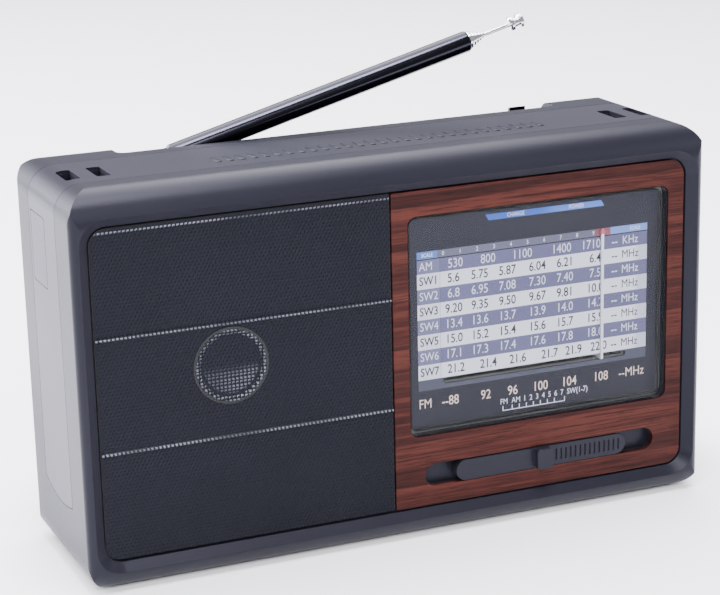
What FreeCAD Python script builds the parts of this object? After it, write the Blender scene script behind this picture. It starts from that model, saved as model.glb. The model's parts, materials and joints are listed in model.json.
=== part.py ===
import FreeCAD, Part
import math
import os
import Sketcher
from FreeCAD import Placement, Rotation, Vector

# Portable nine-band shortwave receiver, millimetres.
# X runs to the listener's right, Y away from the listener, Z up.
# The origin is the middle of the flat underside that the case stands on.

os.makedirs("parts", exist_ok=True)
doc = FreeCAD.newDocument("ShortwaveReceiver")
sheet = doc.addObject("Spreadsheet::Sheet", "Sizes")

SIZES = [
    ("case_width", 215.0, "case, left to right"),
    ("case_height", 126.0, "case, base to top"),
    ("case_depth", 64.0, "case, front crest to back"),
    ("wall", 2.6, "wall of both shells"),
    ("corner_round", 9.0, "corners of the front outline"),
    ("front_top_round", 11.0, "edge between front and top"),
    ("front_base_round", 9.0, "edge between front and underside"),
    ("back_top_round", 6.0, "edge between back and top"),
    ("back_base_round", 15.0, "edge between back and underside"),
    ("front_side_round", 3.3, "edge between front and sides"),
    ("back_side_round", 6.0, "edge between back and sides"),
    ("shell_split", 34.0, "front crest to the joint between the shells"),
    ("split_step", 7.0, "how much further back the joint runs under the top"),
    ("joint_gap", 0.2, "shadow gap between neighbouring covers"),
    ("band_start", 16.7, "front crest to the trim band"),
    ("band_breadth", 29.8, "trim band, front to back"),
    ("band_foot", 21.7, "lowest point of the trim band above the base"),
    ("band_foot_round", 44.0, "radius of the trim band's rounded foot"),
    ("band_foot_shift", 2.5, "rounded foot, towards the front of the band's middle"),
    ("band_depth", 1.1, "thickness of the trim band"),
    ("cover_low", 91.0, "foot of the blanking cover above the base"),
    ("cover_height", 22.5, "blanking cover, height"),
    ("cover_breadth", 15.5, "blanking cover, front to back"),
    ("cover_start", 29.0, "front crest to the blanking cover"),
    ("panel_recess", 3.0, "front crest back to the panels"),
    ("bezel_slope", 3.2, "width of the sloped face round the panels"),
    ("panel_side_margin", 5.5, "case side to the panels"),
    ("panel_base_margin", 9.0, "underside to the panels"),
    ("panel_top_margin", 10.7, "top to the panels"),
    ("panel_round", 6.0, "outer corners of the panels"),
    ("panel_gap", 0.7, "dark groove round the panels"),
    ("panel_thick", 1.6, "thickness of the wood panel"),
    ("front_floor", 2.2, "wall of the front shell behind the panels"),
    ("divider", -4.0, "joint between grille and wood panel"),
    ("window_left", 5.7, "divider to the dial window"),
    ("window_width", 93.9, "dial window"),
    ("window_base", 33.4, "underside to the dial window"),
    ("window_height", 73.0, "dial window"),
    ("window_round", 3.0, "corners of the dial window"),
    ("lens_gap", 0.25, "gap between the lens and its opening"),
    ("lens_sink", 0.4, "lens face below the wood panel"),
    ("lens_pane", 1.6, "thickness of the lens pane"),
    ("lens_wall", 1.2, "rim wall of the lens"),
    ("lens_flange", 1.2, "thickness of the lens flange"),
    ("lens_lip", 2.6, "reach of the lens flange behind the shell"),
    ("dial_gap", 0.4, "dial plate to the lens rim"),
    ("dial_thick", 1.2, "thickness of the dial plate"),
    ("needle_slot_base", 48.9, "underside to the needle slot"),
    ("needle_slot_height", 1.9, "needle slot"),
    ("needle_slot_inset", 11.5, "dial plate's end to the needle slot"),
    ("chassis_thick", 1.6, "thickness of the chassis plate"),
    ("board_stand", 17.4, "chassis plate to the circuit board"),
    ("board_thick", 1.6, "thickness of the circuit board"),
    ("board_base", 41.0, "underside to the circuit board"),
    ("board_top_gap", 9.5, "case top to the circuit board"),
    ("board_left_gap", 6.6, "divider to the circuit board"),
    ("board_side_gap", 4.4, "case side to the circuit board"),
    ("post_radius", 2.2, "posts under the circuit board"),
    ("post_hole", 0.9, "pilot holes in the posts"),
    ("cord_stand", 4.4, "chassis plate to the plane of the dial cord"),
    ("cord_radius", 0.35, "dial cord"),
    ("drum_radius", 18.4, "dial cord's line on the drum"),
    ("drum_across", 48.0, "divider to the drum's axis"),
    ("drum_rise", 74.5, "underside to the drum's axis"),
    ("pulley_radius", 3.0, "dial cord's line on the pulleys"),
    ("pulley_rise", 50.5, "underside to the pulleys' axes"),
    ("left_pulley_across", 17.0, "divider to the left pulley's axis"),
    ("right_pulley_across", 88.5, "divider to the right pulley's axis"),
    ("groove_slack", 0.3, "cord to the floor of its groove"),
    ("running_gap", 0.05, "radial clearance of turning and sliding fits"),
    ("hub_radius", 4.0, "dial cord's line on the tuning wheel's hub"),
    ("tuning_radius", 18.0, "tuning wheel"),
    ("tuning_thick", 5.0, "tuning wheel"),
    ("tuning_proud", 3.5, "tuning wheel beyond the case side"),
    ("tuning_rise", 88.0, "underside to the tuning wheel's axis"),
    ("volume_radius", 13.0, "volume wheel"),
    ("volume_thick", 4.0, "volume wheel"),
    ("volume_proud", 3.0, "volume wheel beyond the case side"),
    ("volume_rise", 50.0, "underside to the volume wheel's axis"),
    ("wheel_start", 20.0, "front crest to the two thumbwheels"),
    ("wheel_room", 0.9, "clearance of a thumbwheel in its slot"),
    ("needle_home", 76.8, "divider to the needle at rest"),
    ("needle_width", 0.9, "needle"),
    ("needle_base", 49.3, "underside to the needle's foot"),
    ("needle_length", 42.8, "needle"),
    ("rail_radius", 1.0, "rail of the needle's carriage"),
    ("rail_behind", 2.2, "chassis plate to the rail's axis"),
    ("slot_rise", 19.8, "underside to the band slider's middle"),
    ("slot_left", 10.6, "divider to the band slider's slot"),
    ("slot_length", 84.4, "band slider's slot"),
    ("slot_height", 7.7, "band slider's slot"),
    ("slider_length", 62.6, "band slider"),
    ("slider_height", 7.0, "band slider"),
    ("slider_proud", 0.5, "band slider before the wood panel"),
    ("slider_tab", 5.6, "width of the slider's finger tab"),
    ("slider_tab_proud", 2.9, "finger tab before the wood panel"),
    ("slider_stroke", 10.0, "travel of the slider each way"),
    ("speaker_rise", 62.0, "underside to the loudspeaker's axis"),
    ("speaker_radius", 45.0, "rim of the loudspeaker"),
    ("speaker_depth", 13.0, "rim to the magnet"),
    ("magnet_radius", 19.5, "loudspeaker magnet"),
    ("magnet_thick", 12.0, "loudspeaker magnet"),
    ("emboss_high", 80.4, "underside to the grille's upper pressed line"),
    ("emboss_low", 44.2, "underside to the grille's lower pressed line"),
    ("emboss_proud", 0.5, "height of the pressed lines"),
    ("ring_radius", 11.5, "pressed ring of the grille"),
    ("ring_rise", 67.0, "underside to the pressed ring's middle"),
    ("ring_across", 54.3, "divider back to the pressed ring's middle"),
    ("boss_radius", 3.5, "screw bosses"),
    ("screw_radius", 1.3, "case screws"),
    ("screw_head", 2.8, "radius of the case screws' heads"),
    ("head_thick", 2.0, "thickness of the case screws' heads"),
    ("head_seat", 18.0, "back of the case to the screw heads' seats"),
    ("screw_length", 22.0, "case screws under the head"),
    ("boss_side", 6.5, "case side to the upper bosses"),
    ("boss_drop", 13.2, "case top to the upper bosses"),
    ("boss_low_side", 6.8, "case side to the lower bosses"),
    ("boss_low", 10.5, "underside to the lower bosses"),
    ("bay_length", 190.0, "battery bay, three large round cells in a row"),
    ("bay_height", 34.2, "battery bay"),
    ("bay_depth", 34.4, "battery bay inside the back wall"),
    ("bay_base", 4.0, "underside to the battery bay"),
    ("bay_wall", 1.6, "walls of the battery bay"),
    ("door_ledge", 1.5, "ledge that the battery door lies on"),
    ("door_thick", 1.0, "battery door"),
    ("door_gap", 0.3, "clearance round and under the battery door"),
    ("strap_length", 13.5, "strap slots, front to back"),
    ("strap_width", 4.6, "strap slots, left to right"),
    ("strap_start", 23.0, "front crest to the strap slots"),
    ("strap_outer", 8.6, "case side to the outer slots' middles"),
    ("strap_pitch", 9.6, "outer slot to inner slot"),
    ("strap_depth", 7.5, "depth of the strap slots"),
    ("groove_left", 76.0, "middle of the case left to the antenna groove's end"),
    ("groove_right", 80.0, "middle of the case right to the antenna groove's end"),
    ("groove_breadth", 11.8, "antenna groove in from the back"),
    ("groove_depth", 10.4, "antenna groove down from the top"),
    ("groove_wall", 2.2, "wall under and before the antenna groove"),
    ("antenna_across", -66.0, "antenna pivot, from the middle of the case"),
    ("antenna_inset", 7.0, "back of the case to the antenna's axis"),
    ("antenna_drop", 6.0, "case top to the antenna's pivot"),
    ("antenna_tilt", 14.7, "antenna above the level, degrees"),
    ("tube_radius", 3.6, "outermost antenna tube"),
    ("tube_step", 0.5, "each antenna tube thinner than the last, radius"),
    ("tube_wall", 0.28, "antenna tube walls"),
    ("tube_start", 9.5, "pivot to the outermost tube"),
    ("tube_length", 109.5, "outermost tube"),
    ("tube_lip", 1.3, "how far each closed tube stands out of the last"),
    ("rod_radius", 0.75, "innermost rod"),
    ("rod_proud", 9.5, "closed rod out of the last tube"),
    ("tip_radius", 2.6, "antenna tip"),
    ("tip_length", 5.2, "antenna tip"),
    ("fork_gap", 3.2, "slot of the antenna's fork"),
    ("fork_ear", 1.5, "ears of the antenna's fork"),
    ("fork_radius", 4.2, "rounded ends of the ears"),
    ("rivet_radius", 1.0, "rivet through the fork"),
    ("post_swivel", 2.4, "swivel post under the fork"),
    ("swivel_gap", 0.1, "radial clearance of the swivel post in the case"),
    ("clip_left", 66.5, "middle of the case to the antenna clip"),
    ("clip_length", 6.0, "antenna clip"),
    ("clip_wall", 1.2, "lugs of the antenna clip"),
    ("inlet_across", 70.0, "middle of the case to the mains inlet"),
    ("inlet_rise", 58.0, "underside to the mains inlet"),
    ("inlet_width", 17.4, "mouth of the mains inlet"),
    ("inlet_height", 8.4, "mouth of the mains inlet"),
    ("inlet_depth", 14.0, "mouth of the mains inlet"),
    ("phone_rise", 29.5, "underside to the earphone socket"),
    ("phone_start", 20.8, "front crest to the earphone socket"),
    ("phone_bore", 1.8, "earphone socket's bore"),
    ("phone_depth", 12.0, "earphone socket"),
    ("ferrite_radius", 5.0, "ferrite rod"),
    ("ferrite_length", 70.0, "ferrite rod"),
    ("ferrite_drop", 15.0, "case top to the ferrite rod"),
    ("ferrite_behind", 7.0, "circuit board to the ferrite rod's axis"),
    ("lamp_radius", 1.5, "indicator lamps"),
    ("lamp_rise", 103.0, "underside to the indicator lamps"),
    ("charge_lamp_across", 40.0, "divider to the charging lamp"),
    ("power_lamp_across", 67.0, "divider to the power lamp"),
]


# ---------------------------------------------------------------- sizes that carry their formula

class Dim:
    """A number together with the spreadsheet expression that gives it."""

    def __init__(self, number, text):
        self.number = float(number)
        self.text = text

    def __float__(self):
        return self.number

    def __neg__(self):
        return Dim(-self.number, f"(0 - {self.text})")

    def __add__(self, other):
        other = dim(other)
        return Dim(self.number + other.number, f"({self.text} + {other.text})")

    def __sub__(self, other):
        other = dim(other)
        return Dim(self.number - other.number, f"({self.text} - {other.text})")

    def __mul__(self, other):
        other = dim(other)
        return Dim(self.number * other.number, f"({self.text} * {other.text})")

    def __truediv__(self, other):
        other = dim(other)
        return Dim(self.number / other.number, f"({self.text} / {other.text})")

    def __radd__(self, other):
        return dim(other) + self

    def __rsub__(self, other):
        return dim(other) - self

    def __rmul__(self, other):
        return dim(other) * self


def dim(value):
    """Return value as a Dim; a plain number stands for itself."""
    if isinstance(value, Dim):
        return value
    return Dim(value, f"({float(value)!r})")


class Sizes:
    """The spreadsheet's cells by their names."""


size = Sizes()
for row, (alias, number, meaning) in enumerate(SIZES, start=1):
    sheet.set(f"A{row}", meaning)
    sheet.set(f"B{row}", str(number))
    sheet.setAlias(f"B{row}", alias)
    setattr(size, alias, Dim(number, f"Sizes.{alias}"))
doc.recompute()


# ---------------------------------------------------------------- sketches

PLANES = {
    "X": Rotation(Vector(1, 1, 1), 120),
    "Y": Rotation(Vector(1, 0, 0), 90),
    "Z": Rotation(),
}
ORIGIN_ROLES = {"X": "YZ_Plane", "Y": "XZ_Plane", "Z": "XY_Plane"}


def bind(target, path, value):
    """Drive one property of an object from the spreadsheet."""
    target.setExpression(path, dim(value).text)


def pin(sketch, curve, end, across, up):
    """Hold one point of a curve at (across, up) from the sketch's origin; None leaves it free."""
    for kind, value in (("DistanceX", across), ("DistanceY", up)):
        if value is None:
            continue
        place = dim(value)
        index = sketch.addConstraint(Sketcher.Constraint(kind, -1, 1, curve, end, place.number))
        sketch.setExpression(f"Constraints[{index}]", place.text)


def spot(across, up):
    """A point of a sketch as a vector."""
    return Vector(float(across), float(up), 0)


def join(sketch, first, second):
    """Tie the end of one curve to the start of the next."""
    sketch.addConstraint(Sketcher.Constraint("Coincident", first, 2, second, 1))


def polygon(*points):
    """A closed outline of straight lines through the given points."""
    def draw(sketch):
        lines = []
        for index, point in enumerate(points):
            after = points[(index + 1) % len(points)]
            lines.append(sketch.addGeometry(Part.LineSegment(spot(*point), spot(*after)), False))
        for index, line in enumerate(lines):
            pin(sketch, line, 1, *points[index])
            join(sketch, line, lines[(index + 1) % len(lines)])
    return draw


def circle(across, up, radius):
    """A full circle."""
    def draw(sketch):
        curve = sketch.addGeometry(Part.Circle(spot(across, up), Vector(0, 0, 1), float(radius)), False)
        pin(sketch, curve, 3, across, up)
        index = sketch.addConstraint(Sketcher.Constraint("Radius", curve, float(radius)))
        sketch.setExpression(f"Constraints[{index}]", dim(radius).text)
    return draw


def arc(sketch, across, up, radius, start, stop):
    """An arc with its centre and radius held; start and stop are degrees."""
    ring = Part.Circle(spot(across, up), Vector(0, 0, 1), float(radius))
    piece = Part.ArcOfCircle(ring, math.radians(start), math.radians(stop))
    curve = sketch.addGeometry(piece, False)
    pin(sketch, curve, 3, across, up)
    index = sketch.addConstraint(Sketcher.Constraint("Radius", curve, float(radius)))
    sketch.setExpression(f"Constraints[{index}]", dim(radius).text)
    return curve


def round_box(left, right, low, high, rounds):
    """A rectangle with rounded corners, given from the lower left one anticlockwise."""
    if not isinstance(rounds, (tuple, list)):
        rounds = (rounds,) * 4

    def draw(sketch):
        corners = ((left, low, 1, 1), (right, low, -1, 1), (right, high, -1, -1), (left, high, 1, -1))
        pieces = []
        for index, (across, up, inward, upward) in enumerate(corners):
            radius = rounds[index]
            if float(radius) <= 0:
                pieces.append(None)
                continue
            centre = (across + inward * radius, up + upward * radius)
            start = 180 + 90 * index
            curve = arc(sketch, *centre, radius, start, start + 90)
            turn = ("Horizontal", "Vertical") if index % 2 == 0 else ("Vertical", "Horizontal")
            sketch.addConstraint(Sketcher.Constraint(turn[0], curve, 3, curve, 1))
            sketch.addConstraint(Sketcher.Constraint(turn[1], curve, 3, curve, 2))
            pieces.append(curve)
        ends = []
        for index, (across, up, inward, upward) in enumerate(corners):
            radius = rounds[index] if pieces[index] is not None else dim(0)
            before = (across, up + upward * radius) if index % 2 == 0 else (across + inward * radius, up)
            after = (across + inward * radius, up) if index % 2 == 0 else (across, up + upward * radius)
            ends.append((before, after))
        chain = []
        for index in range(4):
            if pieces[index] is not None:
                chain.append(pieces[index])
            begin = ends[index][1]
            finish = ends[(index + 1) % 4][0]
            line = sketch.addGeometry(Part.LineSegment(spot(*begin), spot(*finish)), False)
            if pieces[index] is None:
                pin(sketch, line, 1, *begin)
            chain.append(line)
        for index, curve in enumerate(chain):
            join(sketch, curve, chain[(index + 1) % len(chain)])
    return draw


def stadium(left, right, middle, radius):
    """A slot outline with half-round ends, level."""
    def draw(sketch):
        right_end = arc(sketch, right - radius, middle, radius, -90, 90)
        left_end = arc(sketch, left + radius, middle, radius, 90, 270)
        for curve in (right_end, left_end):
            sketch.addConstraint(Sketcher.Constraint("Vertical", curve, 3, curve, 1))
            sketch.addConstraint(Sketcher.Constraint("Vertical", curve, 3, curve, 2))
        top = sketch.addGeometry(Part.LineSegment(spot(right - radius, middle + radius),
                                                  spot(left + radius, middle + radius)), False)
        foot = sketch.addGeometry(Part.LineSegment(spot(left + radius, middle - radius),
                                                   spot(right - radius, middle - radius)), False)
        for first, second in ((right_end, top), (top, left_end), (left_end, foot), (foot, right_end)):
            join(sketch, first, second)
    return draw


# ---------------------------------------------------------------- part-design features

def new_body(name):
    """An empty body that carries one sub-part's name."""
    body = doc.addObject("PartDesign::Body", name)
    body.Label = name
    return body


def sketch_in(body, axis, offset, draw):
    """A sketch across an axis of the body, at an offset along that axis."""
    sketch = body.newObject("Sketcher::SketchObject", f"{body.Name}_outline")
    for plane in body.Origin.OriginFeatures:
        if plane.Role == ORIGIN_ROLES[axis]:
            sketch.AttachmentSupport = [(plane, "")]
    sketch.MapMode = "FlatFace"
    along = -dim(offset) if axis == "Y" else dim(offset)
    sketch.AttachmentOffset = Placement(Vector(0, 0, along.number), Rotation())
    bind(sketch, "AttachmentOffset.Base.z", along)
    draw(sketch)
    return sketch


def pad(body, axis, low, high, draw):
    """Add material between two stations along an axis."""
    sketch = sketch_in(body, axis, high if axis == "Y" else low, draw)
    feature = body.newObject("PartDesign::Pad", f"{body.Name}_pad")
    feature.Profile = sketch
    bind(feature, "Length", dim(high) - dim(low))
    sketch.Visibility = False
    return feature


def pocket(body, axis, low, high, draw):
    """Cut material away between two stations along an axis, and make sure that something went."""
    doc.recompute()
    before = body.Shape.Volume
    sketch = sketch_in(body, axis, low if axis == "Y" else high, draw)
    feature = body.newObject("PartDesign::Pocket", f"{body.Name}_pocket")
    feature.Profile = sketch
    bind(feature, "Length", dim(high) - dim(low))
    doc.recompute()
    if not body.Shape.Volume < before:
        raise RuntimeError(f"{feature.Name} cuts nothing")
    return feature


def turn(body, points):
    """Revolve a closed outline of (radius, height) points about the body's own Z axis."""
    sketch = sketch_in(body, "Y", 0, polygon(*points))
    feature = body.newObject("PartDesign::Revolution", f"{body.Name}_turned")
    feature.Profile = sketch
    feature.ReferenceAxis = (sketch, ["V_Axis"])
    feature.Angle = 360
    return feature


def ring_pattern(body, feature, count):
    """Repeat a feature round the body's own Z axis."""
    pattern = body.newObject("PartDesign::PolarPattern", f"{body.Name}_pattern")
    pattern.Originals = [feature]
    for line in body.Origin.OriginFeatures:
        if line.Role == "Z_Axis":
            pattern.Axis = (line, [""])
    pattern.Angle = 360
    pattern.Occurrences = count
    body.Tip = pattern
    return pattern


TURNS = {
    "X": (Vector(0, 1, 0), 90),
    "Y": (Vector(1, 0, 0), -90),
    "-Y": (Vector(1, 0, 0), 90),
    "Z": (Vector(0, 0, 1), 0),
}


def place(target, heading, across, depth, up):
    """Stand an object's own Z axis along a heading, with its origin at the given point."""
    axis, angle = TURNS[heading]
    target.Placement = Placement(Vector(), Rotation(axis, angle))
    for path, value in (("x", across), ("y", depth), ("z", up)):
        bind(target, f"Placement.Base.{path}", value)
    return target


# ---------------------------------------------------------------- primitives and booleans

def box(name, left, right, near, far, low, high):
    """A block between two corners."""
    block = doc.addObject("Part::Box", name)
    for prop, value in (("Length", dim(right) - left), ("Width", dim(far) - near), ("Height", dim(high) - low)):
        bind(block, prop, value)
    return place(block, "Z", left, near, low)


def rod(name, heading, across, depth, up, radius, length):
    """A plain cylinder that starts at a point and runs along a heading."""
    cylinder = doc.addObject("Part::Cylinder", name)
    bind(cylinder, "Radius", radius)
    bind(cylinder, "Height", length)
    return place(cylinder, heading, across, depth, up)


def prism(name, axis, low, high, draw):
    """A sketch across an axis, extruded between two stations."""
    sketch = doc.addObject("Sketcher::SketchObject", f"{name}_outline")
    sketch.Placement = Placement(Vector(), PLANES[axis])
    start = dim(high) if axis == "Y" else dim(low)
    bind(sketch, f"Placement.Base.{axis.lower()}", start)
    draw(sketch)
    solid = doc.addObject("Part::Extrusion", name)
    solid.Base = sketch
    solid.DirMode = "Normal"
    solid.Solid = True
    bind(solid, "LengthFwd", dim(high) - dim(low))
    return solid


def fuse(name, *shapes):
    """Several objects as one."""
    union = doc.addObject("Part::MultiFuse", name)
    union.Shapes = list(shapes)
    union.Refine = True
    return union


def common(name, *shapes):
    """What several objects share."""
    shared = doc.addObject("Part::MultiCommon", name)
    shared.Shapes = list(shapes)
    return shared


def cut(name, base, *tools):
    """One object with others taken away."""
    result = doc.addObject("Part::Cut", name)
    result.Base = base
    result.Tool = tools[0] if len(tools) == 1 else fuse(f"{name}_tools", *tools)
    result.Refine = True
    return result


# ---------------------------------------------------------------- stations shared by the sub-parts

half = size.case_width / 2
front = -size.case_depth / 2
back = size.case_depth / 2
top = size.case_height
split = front + size.shell_split
band_near = front + size.band_start
band_far = band_near + size.band_breadth

panel_face = front + size.panel_recess
panel_seat = panel_face + size.panel_thick
floor_back = panel_seat + size.front_floor
panel_left = -half + size.panel_side_margin
panel_right = half - size.panel_side_margin
panel_low = size.panel_base_margin
panel_high = top - size.panel_top_margin

window_left = size.divider + size.window_left
window_right = window_left + size.window_width
window_low = size.window_base
window_high = window_low + size.window_height

chassis_near = floor_back + size.lens_flange
chassis_back = chassis_near + size.chassis_thick
cord_plane = chassis_back + size.cord_stand
board_near = chassis_back + size.board_stand
board_far = board_near + size.board_thick

drum_x = size.divider + size.drum_across
left_pulley_x = size.divider + size.left_pulley_across
right_pulley_x = size.divider + size.right_pulley_across
needle_x = size.divider + size.needle_home
tuning_x = half + size.tuning_proud - size.tuning_radius
volume_x = half + size.volume_proud - size.volume_radius
wheel_near = front + size.wheel_start

slot_left = size.divider + size.slot_left
slot_right = slot_left + size.slot_length
slot_middle = (slot_left + slot_right) / 2

speaker_x = (panel_left + size.divider) / 2
bay_left = -size.bay_length / 2
bay_right = size.bay_length / 2
bay_far = back - size.wall
bay_near = bay_far - size.bay_depth
bay_high = size.bay_base + size.bay_height

antenna_y = back - size.antenna_inset
antenna_z = top - size.antenna_drop
groove_near = back - size.groove_breadth
groove_low = top - size.groove_depth

BEYOND = 5.0
CLEAR = 0.3


# ---------------------------------------------------------------- case

def case_form(name, inset):
    """The rounded case drawn in by an inset: what its side, front and top outlines share."""
    def rounding(radius):
        left_over = radius - inset
        return left_over if float(left_over) > 0 else dim(0)

    side = prism(f"{name}_side", "X", -half + inset, half - inset, round_box(
        front + inset, back - inset, dim(inset), top - inset,
        (rounding(size.front_base_round), rounding(size.back_base_round),
         rounding(size.back_top_round), rounding(size.front_top_round))))
    face = prism(f"{name}_face", "Y", front + inset, back - inset, round_box(
        -half + inset, half - inset, dim(inset), top - inset, rounding(size.corner_round)))
    plan = prism(f"{name}_plan", "Z", dim(inset), top - inset, round_box(
        -half + inset, half - inset, front + inset, back - inset,
        (rounding(size.front_side_round), rounding(size.front_side_round),
         rounding(size.back_side_round), rounding(size.back_side_round))))
    return common(name, side, face, plan)


def band_zone(name, margin):
    """Everything between the trim band's two edges, down to its rounded foot."""
    near = band_near + margin
    far = band_far - margin
    centre_y = (band_near + band_far) / 2 - size.band_foot_shift
    radius = size.band_foot_round - margin
    centre_z = size.band_foot + size.band_foot_round
    high = top + BEYOND

    def draw(sketch):
        reach_near = float(centre_y) - float(near)
        reach_far = float(far) - float(centre_y)
        start = 180 + math.degrees(math.acos(reach_near / float(radius)))
        stop = 360 - math.degrees(math.acos(reach_far / float(radius)))
        foot = arc(sketch, centre_y, centre_z, radius, start, stop)
        low_near = float(centre_z) - math.sqrt(float(radius) ** 2 - reach_near ** 2)
        low_far = float(centre_z) - math.sqrt(float(radius) ** 2 - reach_far ** 2)
        up = sketch.addGeometry(Part.LineSegment(spot(far, low_far), spot(far, high)), False)
        over = sketch.addGeometry(Part.LineSegment(spot(far, high), spot(near, high)), False)
        down = sketch.addGeometry(Part.LineSegment(spot(near, high), spot(near, low_near)), False)
        pin(sketch, foot, 1, near, None)
        pin(sketch, foot, 2, far, None)
        pin(sketch, over, 1, far, high)
        pin(sketch, down, 1, near, high)
        for first, second in ((foot, up), (up, over), (over, down), (down, foot)):
            join(sketch, first, second)

    return prism(name, "X", -half - BEYOND, half + BEYOND, draw)


outer_form = case_form("outer_form", 0)
inner_form = case_form("inner_form", size.wall)
band_form = case_form("band_form", size.band_depth)

cavity = common("cavity", inner_form, box("cavity_reach", -half, half, floor_back, back, 0, top))
band_groove = cut("band_groove", band_zone("band_groove_zone", 0), band_form)
skin = cut("skin", outer_form, cavity, band_groove)


def strap_slots(name, margin, low, high):
    """The four upright slots in the top that a carrying strap threads through."""
    slots = []
    for side in (-1, 1):
        for index in range(2):
            middle = side * (half - size.strap_outer - index * size.strap_pitch)
            label = f"{name}_{'left' if side < 0 else 'right'}_{index}"
            slots.append(prism(label, "Z", low, high, round_box(
                middle - size.strap_width / 2 - margin, middle + size.strap_width / 2 + margin,
                front + size.strap_start - margin, front + size.strap_start + size.strap_length + margin,
                size.strap_width / 4)))
    return slots


def strap_wells(name, margin, low, high):
    """One well under each pair of strap slots, where the strap turns back up."""
    wells = []
    for side in (-1, 1):
        outer = side * (half - size.strap_outer + size.strap_width / 2 + margin)
        inner = side * (half - size.strap_outer - size.strap_pitch - size.strap_width / 2 - margin)
        left, right = (outer, inner) if side < 0 else (inner, outer)
        wells.append(box(f"{name}_{'left' if side < 0 else 'right'}", left, right,
                         front + size.strap_start - margin,
                         front + size.strap_start + size.strap_length + margin, low, high))
    return wells


def wheel_slots(name):
    """The two slots in the case side that the thumbwheels stand out of."""
    slots = []
    wheels = ((tuning_x, size.tuning_rise, size.tuning_radius, size.tuning_thick),
              (volume_x, size.volume_rise, size.volume_radius, size.volume_thick))
    for index, (across, up, radius, thick) in enumerate(wheels):
        slots.append(rod(f"{name}_{index}", "Y", across, wheel_near - size.wheel_room, up,
                         radius + size.wheel_room, thick + 2 * size.wheel_room))
    return slots


def phone_hole(name, radius):
    """The hole in the case side for the earphone socket."""
    return rod(name, "X", half - size.phone_depth, front + size.phone_start, size.phone_rise,
               radius, size.phone_depth + BEYOND)


strap_low = top - size.strap_depth
phone_nose = size.phone_bore + 1.4
cover_near = front + size.cover_start
cover_high = size.cover_low + size.cover_height


def cover_block(name, margin, deep):
    """The blanking cover's rounded oblong on the case's left side."""
    return prism(name, "X", -half - BEYOND, -half + deep, round_box(
        cover_near - margin, cover_near + size.cover_breadth + margin,
        size.cover_low - margin, cover_high + margin, dim(1.0)))


trim_ring = cut("trim_ring", common("trim_stock", outer_form, band_zone("trim_zone", size.joint_gap)),
                band_form)
trim_band = cut("trim_band", trim_ring, *strap_slots("trim_strap", 0, strap_low, top + BEYOND),
                *wheel_slots("trim_wheel_slot"), phone_hole("trim_phone", phone_nose + CLEAR),
                cover_block("trim_cover", 0, size.wall))
side_cover = common("side_cover", cut("cover_stock", outer_form, band_form),
                    cover_block("cover_outline", -size.joint_gap, size.wall))


# Screw positions: two high, two low at the sides, and two in the middle.
boss_high = top - size.boss_drop
boss_spots = [
    (-half + size.boss_side, boss_high), (half - size.boss_side, boss_high),
    (-half + size.boss_low_side, size.boss_low), (half - size.boss_low_side, size.boss_low),
    (size.divider - 2.0, boss_high), (size.divider - 2.0, bay_high + size.bay_wall + 5.0),
]


def bosses(name, radius, near, far):
    """One cylinder at each screw position, from front to back."""
    return [rod(f"{name}_{index}", "Y", across, near, up, radius, far - near)
            for index, (across, up) in enumerate(boss_spots)]


# Front shell: the front half of the skin, with the sloped bezel, the seat of the two panels and
# the openings behind them.
split_zone = prism("split_zone", "X", -half - BEYOND, half + BEYOND, polygon(
    (front - BEYOND, dim(-BEYOND)), (split, dim(-BEYOND)), (split, top - size.boss_drop / 2),
    (split + size.split_step, top - size.boss_drop / 2), (split + size.split_step, top + BEYOND),
    (front - BEYOND, top + BEYOND)))


def bezel_mouth():
    """The sloped recess round both panels, wider towards the listener."""
    mouth = new_body("bezel_mouth")
    spread = size.bezel_slope * (size.panel_recess + 1.0) / size.panel_recess
    inner = sketch_in(mouth, "Y", panel_face, round_box(
        panel_left, panel_right, panel_low, panel_high, size.panel_round))
    outer = sketch_in(mouth, "Y", front - 1.0, round_box(
        panel_left - spread, panel_right + spread, panel_low - spread, panel_high + spread,
        size.panel_round + spread))
    loft = mouth.newObject("PartDesign::AdditiveLoft", "bezel_loft")
    loft.Profile = inner
    loft.Sections = [outer]
    loft.Ruled = True
    return mouth


panel_seat_block = prism("panel_seat_block", "Y", panel_face - CLEAR, panel_seat, round_box(
    panel_left, panel_right, panel_low, panel_high, size.panel_round))
window_hole = prism("window_hole", "Y", front, floor_back + CLEAR, round_box(
    window_left, window_right, window_low, window_high, size.window_round))
pan_floor = floor_back - CLEAR
pan_back = pan_floor + 2.0
slot_radius = size.slot_height / 2
slot_hole = prism("slot_hole", "Y", front, pan_floor, stadium(
    slot_left, slot_right, size.slot_rise, slot_radius))
tongue_slit = prism("tongue_slit", "Y", front, pan_back + CLEAR, stadium(
    slot_middle - size.slider_stroke - 5.0, slot_middle + size.slider_stroke + 5.0, size.slot_rise, dim(1.0)))
slot_pan = prism("slot_pan", "Y", panel_seat, pan_back, round_box(
    slot_left - 2.5, slot_right + 2.5, size.slot_rise - slot_radius - 2.5,
    size.slot_rise + slot_radius + 2.5, dim(1.5)))
speaker_mouth = rod("speaker_mouth", "Y", speaker_x, front, size.speaker_rise,
                    size.speaker_radius - 4.0, size.case_depth / 3)
rail_gap = 12.0
speaker_bars = []
for index in range(-2, 3):
    rise = size.speaker_rise + index * rail_gap
    speaker_bars.append(box(f"speaker_bar_{index + 2}", speaker_x - size.speaker_radius,
                            speaker_x + size.speaker_radius, panel_seat, floor_back,
                            rise - 1.0, rise + 1.0))
speaker_bars.append(box("speaker_bar_upright", speaker_x - 1.0, speaker_x + 1.0, panel_seat, floor_back,
                        size.speaker_rise - size.speaker_radius, size.speaker_rise + size.speaker_radius))
speaker_opening = cut("speaker_opening", speaker_mouth, *speaker_bars)

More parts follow.
